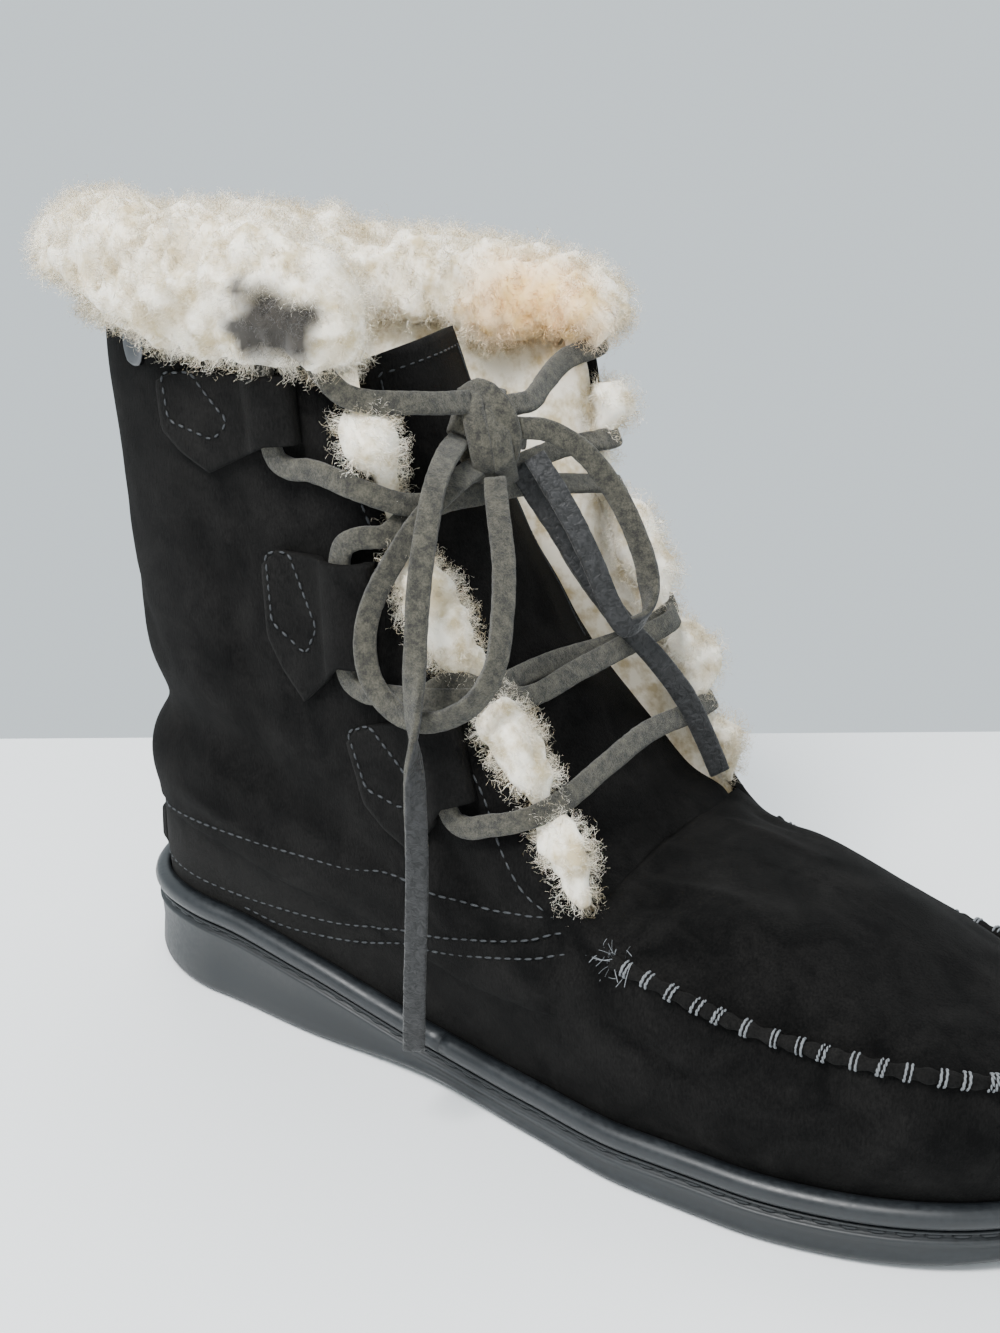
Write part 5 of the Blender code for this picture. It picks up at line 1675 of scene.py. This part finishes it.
    def dress(self, tabs: dict, material: bpy.types.Material) -> list:
        """Return the thong's pieces.

        Args:
            tabs: The lace tabs by side and number.
            material: The thong's leather.

        Returns:
            Pieces, each with the CAD nodes it replaces.
        """
        places = self.course(tabs)
        bars = self.ribbon("lace_bars", *(np.array(column) for column in zip(*places)), material)
        made = [(bars, ("lace_crossings",))]
        camera = np.array(self.toward_camera)
        shift = np.array(self.last.shift)
        for name, route in self.routes.items():
            points = MM * np.array(route)
            along = heading(points)
            flat = unit(camera - along * (along @ camera)[:, None])
            angle = np.radians(np.array(self.twists[name], dtype=float))[:, None]
            normals = flat * np.cos(angle) + np.cross(along, flat) * np.sin(angle)
            piece = self.ribbon(name + "_thong", points, normals, material)
            line = smooth_line(points, 0.002) + shift
            extra = [self.knot_wrap(material, part) for part in range(3)] if name == "lace_knot" else []
            "bare" if "end" in name else "object"
            made.append((piece, (name,)))
            made += [(item, ()) for item in extra]
        return made

    def knot_wrap(self, material: bpy.types.Material, part: int) -> bpy.types.Object:
        """Return one turn of the knot: two over its front from top to foot, one across below them.

        Args:
            material: The thong's leather.
            part: Which turn.

        Returns:
            The piece.
        """
        right = np.array((0.842, 0.539, -0.008))
        up = np.array((-0.213, 0.346, 0.914))
        back = np.array(self.toward_camera)
        centre = np.array(self.knot_centre) * MM
        turns = self.knot_turns[part]
        points = np.array([centre + MM * (right * a + up * b + back * c) for a, b, c in turns])
        return self.ribbon(f"knot_turn_{part + 1}", points, points - (centre - back * 0.002), material)


@dataclass
class Fleece:
    """The shearling: the cuff, the wool along the throat, the lining and the footbed."""

    last: Last
    grower: WoolGrower
    collar_row: float = 4.15
    cuff_rise: float = 0.033
    cuff_reach: float = 0.0155
    cuff_inner_reach: float = 0.014
    cuff_sections: int = 170
    section_points: int = 44
    cuff_density: float = 88000.0
    throat_density: float = 310000.0
    spread: float = 0.75

    course = (
        (-4.15, 0.52, 0.80), (-3.40, 0.58, 0.95), (-1.60, 0.62, 1.00), (0.00, 0.70, 1.00), (2.00, 0.84, 0.85),
        (3.40, 0.88, 0.80), (4.15, 0.72, 0.72),
    )
    ends = ((2.4, 0.95), (4.5, 0.86), (6.8, 0.74), (8.5, 0.58), (9.9, 0.38), (10.6, 0.16))
    profile = (
        (0.02, -0.12, 0.2), (0.40, -0.10, 0.4), (0.78, 0.03, 0.8), (0.98, 0.26, 1.0), (1.00, 0.52, 1.0),
        (0.80, 0.80, 1.0), (0.42, 0.97, 1.0), (-0.05, 1.00, 1.0), (-0.50, 0.90, 1.0), (-0.85, 0.64, 0.8),
        (-0.95, 0.30, 0.6), (-0.85, 0.00, 0.5), (-0.50, -0.22, 0.2), (-0.10, -0.22, 0.1),
    )
    locks = ((23, 2, 0.4, 1.3), (37, -3, 1.9, 1.0), (53, 5, 4.1, 0.7), (11, 1, 2.6, 1.2))
    footbed_edge = ((0.0, 0.0), (0.0, 3.2), (0.8, 4.1), (2.0, 4.5))
    worn_patch = ((0.082, -0.054, 0.197), (0.010, 0.018, 0.009))
    # Centre and radii of the painted warm bounce light on the inner side by the tongue's top.
    warm_patch = ((0.100, 0.022, 0.186), (0.024, 0.024, 0.024))
    badge_spot = (0.030, 0.182, 0.0085)
    tufts = (
        (4.42, 2.6, 1.0), (4.53, 4.8, 1.0), (4.68, 2.2, 3.8), (4.84, 2.2, 3.8), (5.02, 4.4, 1.0),
        (5.20, 5.2, 1.0),
        (5.38, 4.4, 1.0), (5.57, 2.2, 3.8), (5.78, 4.8, 1.0), (5.98, 4.4, 1.5), (6.19, 2.2, 3.8),
        (6.42, 4.2, 1.0),
        (6.64, 2.4, 1.0), (6.80, 1.1, 1.0),
    )

    def cuff_ring(self, signed: float, fine: np.ndarray) -> np.ndarray:
        """Return a ring of the cuff at a signed section row, below zero on the inner side.

        Args:
            signed: The section row, below zero on the inner side.
            fine: Reach, rise and relief at each of the section's points.

        Returns:
            The ring's points.
        """
        last = self.last
        side = Side.OUTER if signed >= 0 else Side.INNER
        edge, normal = last.skin(abs(signed), 1.0, side)
        out = unit(normal * (1, 1, 0))
        rise_share, reach_share = (float(through(self.course, column, signed)) for column in (1, 2))
        turn = 0.5 * (signed / self.collar_row + 1)
        ring = []
        for i, (reach, rise, relief) in enumerate(fine):
            waves = sum(size * math.sin(2 * math.pi * (along * turn + across * i / len(fine)) + phase)
                        for along, across, phase, size in self.locks)
            swell = 1 + 0.018 * waves * relief
            span = self.cuff_reach if reach > 0 else self.cuff_inner_reach
            shift = last.gap if reach > 0 else -last.wall - last.gap
            across_way = shift + reach * span * reach_share * swell
            if reach > 0.3 and rise < 0.4:
                tuck = float(1 - ramp(1.2, 2.6, abs(signed))) * (signed > -1)
                rise += 0.72 * (0.4 - rise) * tuck
            climb = rise * self.cuff_rise * rise_share * swell
            ring.append(edge + out * across_way + np.array([0, 0, climb]))
        return np.array(ring)

    def bald(self, points: np.ndarray) -> np.ndarray:
        """Return how thin the wool is: a worn patch low on the outer side towards the throat.

        Args:
            points: Points on the wool.

        Returns:
            0 for full wool, 1 for bare.
        """
        centre, radii = self.worn_patch
        away = (points - centre) / radii
        noise = value_noise(points, 0.005, 31)
        return np.clip(1.35 - np.linalg.norm(away, axis=-1) + 0.5 * noise, 0.0, 1.0)

    def beside_badge(self, points: np.ndarray) -> np.ndarray:
        """Return how much fewer locks grow beside the plate on the outer side.

        Args:
            points: Points on the wool.

        Returns:
            0 away from it, 1 on it.
        """
        x, z, radius = self.badge_spot
        away = np.hypot(points[:, 0] - x, points[:, 2] - z) / radius
        return np.clip(1.5 - away, 0.0, 1.0) * (points[:, 1] < 0)

    def peach(self, points: np.ndarray) -> np.ndarray:
        """Return how much warm bounce light is painted on the wool, on the inner side by the tongue's top.

        Args:
            points: Points on the wool.

        Returns:
            0 for cream, 1 for the full painted warm light.
        """
        centre, radii = self.warm_patch
        away = (points - centre) / radii
        return np.clip(1.25 - np.linalg.norm(away, axis=-1), 0.0, 1.0)

    def cuff(self, material: bpy.types.Material) -> bpy.types.Object:
        """Return the cuff's dense underwool, with the attributes that its locks follow.

        Args:
            material: The wool.

        Returns:
            The piece.
        """
        knots = np.arange(len(self.profile), dtype=float)
        table = np.array(self.profile)
        fine = trace(knots, table, np.linspace(0.0, knots[-1], self.section_points))
        rows = np.linspace(-self.collar_row, self.collar_row, self.cuff_sections)
        rings = [self.cuff_ring(signed, fine) for signed in rows]
        for first in (0, -1):
            ring = rings[first]
            centre = ring.mean(axis=0)
            ahead = unit((centre - rings[4 if first == 0 else -5].mean(axis=0)) * (1, 1, 0))
            extra = [centre + (ring - centre) * scale + ahead * way * MM for way, scale in self.ends]
            rings = extra[::-1] + rings if first == 0 else rings + extra
        rings = np.array(rings)
        lump = self.lumps(rings)
        lift = 0.0034 * lump + 0.0024 * value_noise(rings, 0.021, 71) - 0.0016
        rings = swollen(rings, rings.mean(axis=1, keepdims=True), lift)
        return self.woolly("cuff_underwool", rings, lump, material)

    @staticmethod
    def lumps(points: np.ndarray) -> np.ndarray:
        """Return how the wool clumps, from -1 in the hollows to 1 on the clumps.

        Args:
            points: Points on the wool.

        Returns:
            The clumping.
        """
        warp = np.stack([value_noise(points, 0.010, seed) for seed in (61, 62, 63)], axis=-1)
        moved = points + 0.004 * warp
        return np.clip(0.65 * value_noise(moved, 0.0075, 11) + 0.45 * value_noise(moved, 0.0036, 12)
                       + 0.2 * value_noise(moved, 0.0018, 13), -1.0, 1.0)

    def woolly(self, name: str, rings: np.ndarray, lump: np.ndarray,
               material: bpy.types.Material) -> bpy.types.Object:
        """Return a surface for wool with its attributes thick and comb, and the ones that paint shade into
        its hollows and warm bounce light onto it.

        Args:
            name: The piece's name.
            rings: Rings of points.
            lump: How the wool clumps at each point.
            material: The wool.

        Returns:
            The piece.
        """
        verts, faces = loft(rings)
        thin = self.bald(verts)
        droop = (0.0, 0.0, -0.15)
        comb = droop + 0.5 * np.stack([value_noise(verts, 0.012, seed) for seed in (22, 23, 21)], axis=-1)
        # Painted shade: the wool is darkened where it lies low between the clumps; painted warm bounce light
        # by the tongue's top.
        piece = finish_mesh(name, verts, faces, material, self.last, {
            "thick": (1 - 0.55 * thin) * (1 - self.beside_badge(verts)), "peach": self.peach(verts),
            "bare": np.clip(1.6 * thin, 0.0, 1.0), "painted_crevice_shade": np.clip(-1.3 * lump.ravel(), 0.0, 0.85)})
        data = piece.data.attributes.new("comb", "FLOAT_VECTOR", "POINT").data
        data.foreach_set("vector", comb.astype(np.float32).ravel())
        return piece

    def throat(self, side: Side, name: str, material: bpy.types.Material) -> bpy.types.Object:
        """Return the underwool along a quarter's front edge.

        Args:
            side: Which side of the boot.
            name: The piece's name.
            material: The wool.

        Returns:
            The piece.
        """
        count = 130
        rows = np.linspace(self.tufts[0][0], self.tufts[-1][0], count)
        edge, normals = self.last.skin(rows, np.ones(count), side)
        radii = 1.2 * MM * through(self.tufts, 1, rows)
        sinks = MM * through(self.tufts, 2, rows)
        along = heading(edge)
        angles = np.linspace(0, 2 * math.pi, 20, endpoint=False)
        rings = []
        for i in range(count):
            inward = np.cross(along[i], normals[i])
            inward *= -side.value * np.sign(inward[1])
            centre = edge[i] + inward * 0.42 * radii[i] + normals[i] * (0.40 * radii[i] - sinks[i])
            rings.append([
                centre + radii[i] * (math.cos(a) * inward + math.sin(a) * normals[i]) for a in angles])
        rings = np.array(rings)
        lump = self.lumps(rings)
        rings = swollen(rings, rings.mean(axis=1, keepdims=True), 0.0020 * lump)
        return self.woolly(name, rings, lump, material)

    def locks_on(self, cuff: bpy.types.Object, furs: dict, wool: bpy.types.Material) -> list:
        """Grow the locks on the cuff, in three pieces, and along the throat.

        Args:
            cuff: The cuff's underwool.
            furs: The throat's underwool by side.
            wool: The wool.

        Returns:
            The locks.
        """
        grow = self.grower.grow
        made = [grow(f"cuff_locks_{part + 1}", cuff, self.cuff_density, self.spread, wool, seed=50 + part)
                for part in range(3)]
        for side in Side:
            name = f"throat_locks_{side.word}"
            made.append(grow(name, furs[side], self.throat_density, self.spread, wool, seed=70))
        return made

    def lining(self, material: bpy.types.Material) -> bpy.types.Object:
        """Return the shearling that lines the shaft and the foot, as a thin shell inside the wall.

        Args:
            material: The wool.

        Returns:
            The piece.
        """
        last = self.last
        rises = np.linspace(0.09, 0.985, 46)
        rings = []
        for row, side in last.around(220):
            rows = np.full(len(rises), row)
            near, _ = last.skin(rows, rises, side, np.full(len(rises), -last.wall - 0.0001))
            base = last.base_skin(rows, rises, side)
            depth = 0.0020 + 0.0007 * value_noise(base, 0.007, 17)
            far, _ = last.skin(rows[::2], rises[::2], side, -last.wall - depth[::2])
            rings.append(np.concatenate([near, far[::-1]]))
        rings = np.array(rings)
        # The lining gets the same painted warm bounce light by the tongue's top.
        return finish_mesh("shaft_lining", *loft(rings, closed=True), material, last,
                           {"peach": self.peach(rings.reshape(-1, 3))})

    def footbed(self, material: bpy.types.Material) -> bpy.types.Object:
        """Return the footbed.

        Args:
            material: The wool.

        Returns:
            The piece.
        """
        last = self.last
        sole = SoleUnit(last, around=160)
        inset = last.welt_reach + last.clearance + last.wall + 3 * last.clearance
        rings = np.array([
            sole.ring(inset + in_mm * MM, lambda x: last.seat(x) + last.clearance + up_mm * MM)
            for in_mm, up_mm in self.footbed_edge
        ])
        return finish_mesh("footbed", *loft(rings), material, last)


@dataclass
class Trim:
    """The tongue, the apron's seam with its whip stitches, the heel patch, the badge and the rows."""

    last: Last
    sewer: StitchSewer
    seam_points: int = 260
    whip_pitch: float = 0.0061
    row_pitch: float = 0.0031
    thread_ends: int = 34

    tongue_rows = (
        (0.612, -0.065, 0.330, 1.0), (0.592, -0.018, 0.342, 1.2), (0.5765, 0.026, 0.350, 1.5),
        (0.545, 0.085, 0.335, 4.0), (0.512, 0.200, 0.310, 6.0), (0.462, 0.350, 0.290, 7.5),
        (0.420, 0.510, 0.265, 8.0), (0.385, 0.660, 0.245, 8.0), (0.355, 0.810, 0.225, 7.0),
        (0.330, 0.955, 0.195, 6.0),
    )
    rows = {
        "quarter_row_high": (
            (0.9, 0.30), (2.14, 0.318), (2.65, 0.323), (3.18, 0.333), (3.75, 0.347), (4.6, 0.412),
            (5.14, 0.465), (5.67, 0.505), (6.17, 0.568), (6.7, 0.66)),
        "quarter_row_middle": (
            (1.0, 0.10), (1.72, 0.095), (2.25, 0.10), (2.72, 0.125), (3.39, 0.17), (4.51, 0.292),
            (5.02, 0.36), (6.04, 0.48), (6.75, 0.60)),
        "quarter_row_low": (
            (2.3, 0.065), (2.72, 0.072), (3.35, 0.12), (4.44, 0.245), (4.98, 0.315), (6.05, 0.43),
            (6.85, 0.515)),
        "front_row": ((5.52, 0.80), (5.62, 0.773), (5.75, 0.69), (5.95, 0.62), (6.24, 0.60)),
        "edge_row": ((4.10, 0.935), (4.25, 0.915), (4.45, 0.905), (4.75, 0.90), (5.1, 0.89), (5.4, 0.86)),
    }

    def tongue(self, material: bpy.types.Material) -> bpy.types.Object:
        """Return the tongue with its arched back, its edge stitched at the top.

        Args:
            material: The suede.

        Returns:
            The piece.
        """
        last = self.last
        end = len(self.tongue_rows) - 1
        rows, shares = np.meshgrid(np.linspace(0.0, end, 90), np.linspace(-1.0, 1.0, 33), indexing="ij")
        outer, normal = self.tongue_skin(rows, shares)
        inner = outer - normal * (0.0042 * (1 - 0.45 * shares**4))[..., None]
        rings = np.concatenate([outer, inner[:, ::-1]], axis=1)
        return finish_mesh("suede_tongue", *loft(rings), material, last, {"wear": np.zeros(rings.size // 3)})

    def tongue_middle(self, rows: np.ndarray) -> np.ndarray:
        """Return the tongue's middle line at its rows.

        Args:
            rows: The tongue's rows.

        Returns:
            The line's points.
        """
        last = self.last
        table = [(i, *values) for i, values in enumerate(self.tongue_rows)]
        x = last.length * through(table, 1, rows)
        tall = last.shaft_height - last.instep_height
        return np.stack([x, np.zeros_like(x), last.instep_height + tall * through(table, 2, rows)], axis=-1)

    def tongue_skin(self, rows: np.ndarray, shares: np.ndarray) -> tuple[np.ndarray, np.ndarray]:
        """Return points and normals on the tongue's back at its rows and shares of its half width.

        Args:
            rows: The tongue's rows.
            shares: Shares of the half width.

        Returns:
            The points and the normals.
        """
        last = self.last
        table = [(i, *values) for i, values in enumerate(self.tongue_rows)]
        run = self.tongue_middle(rows + 0.01) - self.tongue_middle(rows - 0.01)
        normal = unit(np.stack([run[..., 2], np.zeros_like(rows), -run[..., 0]], axis=-1))
        points = self.tongue_middle(rows)
        points[..., 1] = shares * last.ball_width * through(table, 3, rows)
        points = points - normal * (MM * through(table, 4, rows) * shares**2)[..., None]
        dent = 0.0012 * value_noise(points, 0.020, 41) + 0.0004 * value_noise(points, 0.008, 42)
        return points + normal * dent[..., None], normal

    def tongue_stitches(self, material: bpy.types.Material) -> bpy.types.Object:
        """Return the row of stitches round the tongue's top.

        Args:
            material: The thread.

        Returns:
            The piece.
        """
        end = len(self.tongue_rows) - 1
        ways = [(end - 4.0 + 0.06 * i, -0.84) for i in range(62)]
        ways += [(end - 0.24, share) for share in np.linspace(-0.84, 0.84, 13)]
        ways += [(end - 0.3 - 0.06 * i, 0.84) for i in range(62)]
        rows, shares = np.array(ways).T
        points, normals = self.tongue_skin(rows, shares)
        points = points + normals * 0.0001
        spots = list(zip(points, heading(points), normals))
        return self.sewer.sew("tongue_stitches", spots, 0.0017, 0.0005, material, seed=6)

    def seam_line(self, count: int) -> tuple[np.ndarray, np.ndarray, np.ndarray]:
        """Return points on the apron's seam, the way out of the leather and the way along.

        Args:
            count: How many points a side.

        Returns:
            The points, the ways out and the ways along.
        """
        last = self.last
        middle = 0.5 * (1 + last.rim_share)
        lift = 0.0015 + 0.6 * last.gap
        points, outs = [], []
        for side, rows in (
            (Side.OUTER, np.linspace(last.apron_row + 0.02, last.last_row, count)),
            (Side.INNER, np.linspace(last.last_row, last.apron_row + 0.02, count)[1:]),
        ):
            ridge, _ = last.skin(rows, np.full(len(rows), middle), side)
            away = last.skin(rows, np.full(len(rows), middle - 0.06), side)[1]
            away = unit(away + last.skin(rows, np.full(len(rows), middle + 0.06), side)[1])
            points.append(ridge + away * lift * 0.55)
            outs.append(away)
        points = np.concatenate(points)
        return points, np.concatenate(outs), heading(points)

    def seam(self, material: bpy.types.Material) -> bpy.types.Object:
        """Return the apron's raised seam, puckered between its stitches.

        Args:
            material: The suede.

        Returns:
            The piece.
        """
        points, outs, along = self.seam_line(self.seam_points)
        thick = 0.0016 * (1 + 0.16 * np.cos(2 * math.pi * arc_length(points) / 0.0050))[:, None]
        up = np.cross(outs, along)
        rings = np.stack([points + (math.cos(angle) * outs + math.sin(angle) * up) * thick
                          for angle in np.linspace(0, 2 * math.pi, 12, endpoint=False)], axis=1)
        wear = np.full(rings.size // 3, 0.25)
        return finish_mesh("apron_seam", *loft(rings), material, self.last, {"wear": wear})

    def whip(self, material: bpy.types.Material) -> bpy.types.Object:
        """Return the light whip stitches over the apron's seam, two threads to a stitch.

        Args:
            material: The thread.

        Returns:
            The piece.
        """
        line = self.seam_line(self.seam_points)
        arc = arc_length(line[0])
        spots = []
        rng = np.random.default_rng(4)
        for middle in np.arange(0.004, arc[-1] - 0.003, self.whip_pitch):
            middle += rng.normal(0, 0.0004)
            slant = rng.normal(0.10, 0.06)
            for thread in (-0.00055, 0.00055):
                at = middle + thread + rng.normal(0, 0.0001)
                point, out, along = (read_off(at, arc, values) for values in line)
                up = np.cross(out, along)
                for angle in (-80, -40, 0, 40, 80):
                    radial = math.cos(math.radians(angle)) * out + math.sin(math.radians(angle)) * up
                    slide = along * slant * 0.0014 * angle / 40
                    tangent = unit(np.cross(along, radial) + slant * along)
                    spots.append((point + radial * 0.00185 + slide, tangent, radial))
        return self.sewer.sew("whip_stitches", spots, 0.0021, 0.00060, material, seed=8, unevenness=0.22)

    def stitch_rows(self, material: bpy.types.Material) -> list:
        """Return the rows of stitches on both quarters.

        Args:
            material: The thread.

        Returns:
            The rows of stitches.
        """
        made = []
        for name, table in self.rows.items():
            spots = []
            for side in Side:
                fine = smooth_line(np.array(table), 0.01)
                line, normals = self.last.skin(fine[:, 0], fine[:, 1], side, np.full(len(fine), 0.00005))
                arc = arc_length(line)
                at = np.arange(0.001, arc[-1], self.row_pitch)
                place = read_off(at, arc, line)
                spots += list(zip(place, heading(place), read_off(at, arc, normals)))
            made.append(self.sewer.sew(name, spots, 0.0024, 0.0006, material, seed=len(made) + 11))
        return made

    def counter(self, material: bpy.types.Material) -> bpy.types.Object:
        """Return the patch round the heel's back.

        Args:
            material: The suede.

        Returns:
            The piece.
        """
        rises = np.linspace(0.085, 0.205, 14)
        thick = 0.0018 * np.minimum(1.0, 3.5 * np.minimum(rises - 0.080, 0.212 - rises) / 0.06)
        rings = []
        for signed in np.linspace(-0.65, 0.65, 40):
            side = Side.OUTER if signed >= 0 else Side.INNER
            rows = np.full(len(rises), abs(signed))
            end = min(1.0, 6 * (0.66 - abs(signed)) / 0.65)
            outer, _ = self.last.skin(rows, rises, side, 0.0006 + thick * end)
            inner, _ = self.last.skin(rows, rises, side, np.full(len(rises), 0.0001))
            rings.append(np.concatenate([outer, inner[::-1]]))
        rings = np.array(rings)
        wear = np.full(rings.size // 3, 0.5)
        return finish_mesh("heel_patch", *loft(rings), material, self.last, {"wear": wear})

    def badge(self, side_map: SideMap, material: bpy.types.Material) -> bpy.types.Object:
        """Return the small plain shield-shaped plate near the collar, its edge bevelled.

        Args:
            side_map: Finds the skin of the outer side.
            material: The metal.

        Returns:
            The piece.
        """
        last = self.last
        centre_x, centre_z = 0.110 * last.length, 0.962 * last.shaft_height
        rings = []
        for height, scale in ((0.0, 1.0), (0.0008, 1.0), (0.0012, 0.93), (0.00135, 0.84), (0.0014, 0.4)):
            spots = []
            for turn in np.linspace(0, 2 * math.pi, 40, endpoint=False):
                across, up = math.cos(turn), math.sin(turn)
                square = max(abs(across), abs(up)) ** -0.72
                narrow = 1.0 if up > 0 else 1.0 - 0.42 * (-up * square) ** 2
                spots.append((centre_x + 0.00425 * across * square * narrow * scale * 0.98,
                              centre_z + 0.0055 * up * min(square, 1.25) * scale))
            spots = np.array(spots)
            rings.append(side_map.place(spots[:, 0], spots[:, 1], np.full(40, last.gap * 0.4 + height))[0])
        return finish_mesh("badge_plate", *loft(np.array(rings)), material, last)

    def frayed_ends(self, material: bpy.types.Material) -> bpy.types.Object:
        """Return the frayed thread ends where the apron's seam starts.

        Args:
            material: The thread.

        Returns:
            The piece.
        """
        rng = np.random.default_rng(6)
        points, outs, _ = self.seam_line(60)
        verts, faces = [], []
        for _ in range(self.thread_ends):
            root = points[0] + rng.normal(0, 0.0022, 3) * (1.0, 0.4, 1.0)
            way = unit(outs[0] * rng.uniform(0.0, 0.5) + rng.normal(0, 0.7, 3))
            bend = rng.normal(0, 0.6, 3)
            size = rng.uniform(0.0015, 0.0042)
            half = unit(np.cross(way, bend)) * 0.00009
            for i, t in enumerate(np.linspace(0.0, 1.0, 9)):
                spot = root + way * size * t + bend * size * 0.5 * t * t
                verts += [spot - half, spot + half]
                if i:
                    n = len(verts)
                    faces.append((n - 4, n - 3, n - 1, n - 2))
        mesh = bpy.data.meshes.new("frayed_ends")
        mesh.from_pydata((np.array(verts) + np.array(self.last.shift)).tolist(), [], faces)
        mesh.materials.append(material)
        return linked("frayed_ends", mesh)


@dataclass
class Studio:
    """The floor, the air that serves as the wall, the light and the camera at the photograph's angle."""

    last: Last
    floor: str = "#f1f3f4"
    wall: str = "#d6e0e5"
    wall_strength: float = 1.30
    sensor_mm: float = 36.0
    lens_mm: float = 36.0 * 2000.0 / 1333.0

    eye = (0.35816689, -0.38402217, 0.30620255)
    right = (0.84214871, 0.53918646, -0.00796939)
    up = (-0.21309002, 0.34632594, 0.91359235)
    back = (0.49535664, -0.76768242, 0.4065532)
    floor_across = (0.8422, 0.5392, 0.0)
    floor_away = (-0.5392, 0.8422, 0.0)
    floor_middle = (0.3582, -0.3840, 0.0)
    floor_half_width = 1.8
    floor_ends = (-1.5, 0.629)
    lamps = (
        ("key", (-0.05, -0.55, 0.95), 0.35, 18.0), ("fill", (0.75, -0.65, 0.50), 0.7, 2.0),
        ("back", (-0.30, 0.35, 0.95), 0.5, 4.0),
    )
    lit_point = (0.0, 0.0, 0.08)

    def camera(self) -> None:
        """Place the camera as fitted to the photograph."""
        data = bpy.data.cameras.new("photo_view")
        data.sensor_fit = "VERTICAL"
        data.sensor_height = self.sensor_mm
        data.sensor_width = self.sensor_mm
        data.lens = self.lens_mm
        data.clip_start = 0.01
        camera = linked("photo_view", data)
        turn = Matrix((self.right, self.up, self.back)).transposed().to_4x4()
        camera.matrix_world = Matrix.Translation(Vector(self.eye) + self.last.shift) @ turn
        bpy.context.scene.camera = camera

    def stage(self) -> None:
        """Lay the plain floor, which ends behind the boot where the photograph's wall starts."""
        across = np.array(self.floor_across)
        away = np.array(self.floor_away)
        middle = np.array(self.floor_middle) + np.array(self.last.shift)
        material, _, _ = blank_material("studio_floor", {"Base Color": linear(self.floor), "Roughness": 0.85})
        half = self.floor_half_width
        rings = [[middle + across * side + away * way for way in self.floor_ends] for side in (-half, half)]
        verts, faces = loft(np.array(rings), around=False, caps=False)
        mesh = bpy.data.meshes.new("studio_floor")
        mesh.from_pydata(verts.tolist(), [], faces)
        mesh.materials.append(material)
        floor = linked("studio_floor", mesh)

    def light(self) -> None:
        """Set the pale air and place a large soft key above, a fill at the right and a weak lamp behind."""
        world = bpy.data.worlds.new("studio_air")
        world.use_nodes = True
        air = world.node_tree.nodes["Background"]
        air.inputs[0].default_value = linear(self.wall)
        air.inputs[1].default_value = self.wall_strength
        bpy.context.scene.world = world
        for name, place, size, power in self.lamps:
            data = bpy.data.lights.new(name, "AREA")
            data.size = size
            data.energy = power
            lamp = linked(name, data)
            lamp.location = place
            lamp.rotation_euler = (Vector(self.lit_point) - Vector(place)).to_track_quat("-Z", "Y").to_euler()


def main() -> None:
    """Build the boot's looks piece by piece."""
    logging.basicConfig(level=logging.INFO, format="%(message)s")
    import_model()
    low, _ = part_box("outsole")
    last = Last()
    ring = SoleUnit(last, around=60).ring(0.0, last.seat)
    last.shift = Vector((low[0], low[1] - float(ring[:, 1].min()), 0.0))
    LOG.info("shift in mm: %s", [round(v / MM, 3) for v in last.shift])
    studio = Studio(last)
    studio.camera()
    studio.stage()
    studio.light()

    suede = Suede().build()
    tab_suede = Suede(name="tab_suede", dark="#020202", light="#1c1b1a").build()
    wool = Wool().build()
    rubber = Rubber().build()
    band_rubber = Rubber(name="band_rubber", base="#14171a", dust="#24282b", roughness=0.44).build()
    moulded = Rubber(name="moulded_stitch", base="#1b1d1f", dust="#2d3033", roughness=0.55).build()
    thong = Thong().build()
    thread = Thread().build()
    whip_thread = Thread(name="whip_thread", colour="#6f7275", roughness=0.7).build()
    plate = Plate().build()

    maps = {side: SideMap(last, side) for side in Side}
    tabs = {(side, number): LaceTab(maps[side], line, f"tab_{side.word}_{number}")
            for side in Side for number, line in enumerate(LaceTab.lines, start=1)}
    laces = LaceWork(last).dress(tabs, thong)
    sewer = StitchSewer(last)
    sole = SoleUnit(last)
    trim = Trim(last, sewer)
    fleece = Fleece(last, WoolGrower(last))
    tab_spots = [spot for tab in tabs.values() for spot in tab.stitches()]
    cuff = fleece.cuff(wool)
    furs = {side: fleece.throat(side, f"throat_underwool_{side.word}", wool) for side in Side}
    work = [
        (sole.outsole(rubber), ("outsole",), "sole_rubber"),
        (sole.band(band_rubber), ("welt",), "welt_rubber"),
        (sole.groove_stitches(sewer, moulded), (), "sole_rubber"),
        (Upper(last).shell(suede), ("upper",), "suede"),
        (trim.tongue(suede), ("tongue",), "suede"),
        (trim.seam(suede), ("moc_seam",), "suede"),
        (trim.whip(whip_thread), (), None),
        (trim.counter(suede), ("heel_counter",), "suede"),
        (trim.badge(maps[Side.OUTER], plate), ("badge",), "badge_metal"),
        (trim.frayed_ends(whip_thread), (), None),
        (trim.tongue_stitches(thread), (), None),
        (sewer.sew("tab_stitches", tab_spots, 0.0019, 0.0006, thread, seed=5), (), None),
        (fleece.lining(wool), (), "wool"),
        (fleece.footbed(wool), ("insole",), "wool"),
        (cuff, ("cuff_fur",), "wool"),
    ]
    work += [(furs[side], (f"throat_fur_{side.word}",), "wool") for side in Side]
    work += [(row, (), None) for row in trim.stitch_rows(thread)]
    work += [(tab.body(tab_suede), (f"lace_tab_{side.word}_{number}",), "suede")
             for (side, number), tab in tabs.items()]
    work += [(piece, nodes, "lace_suede") for piece, nodes in laces]
    work += [(locks, (), "wool") for locks in fleece.locks_on(cuff, furs, wool)]
    fleece.grower.put_away()
    for piece, nodes, slot in work:
        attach(piece, "root")
        if nodes:
            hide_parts(*nodes)
        piece.data.calc_loop_triangles()
        LOG.info("%s: %d triangles", piece.name, len(piece.data.loop_triangles))


if __name__ == "__main__":
    main()
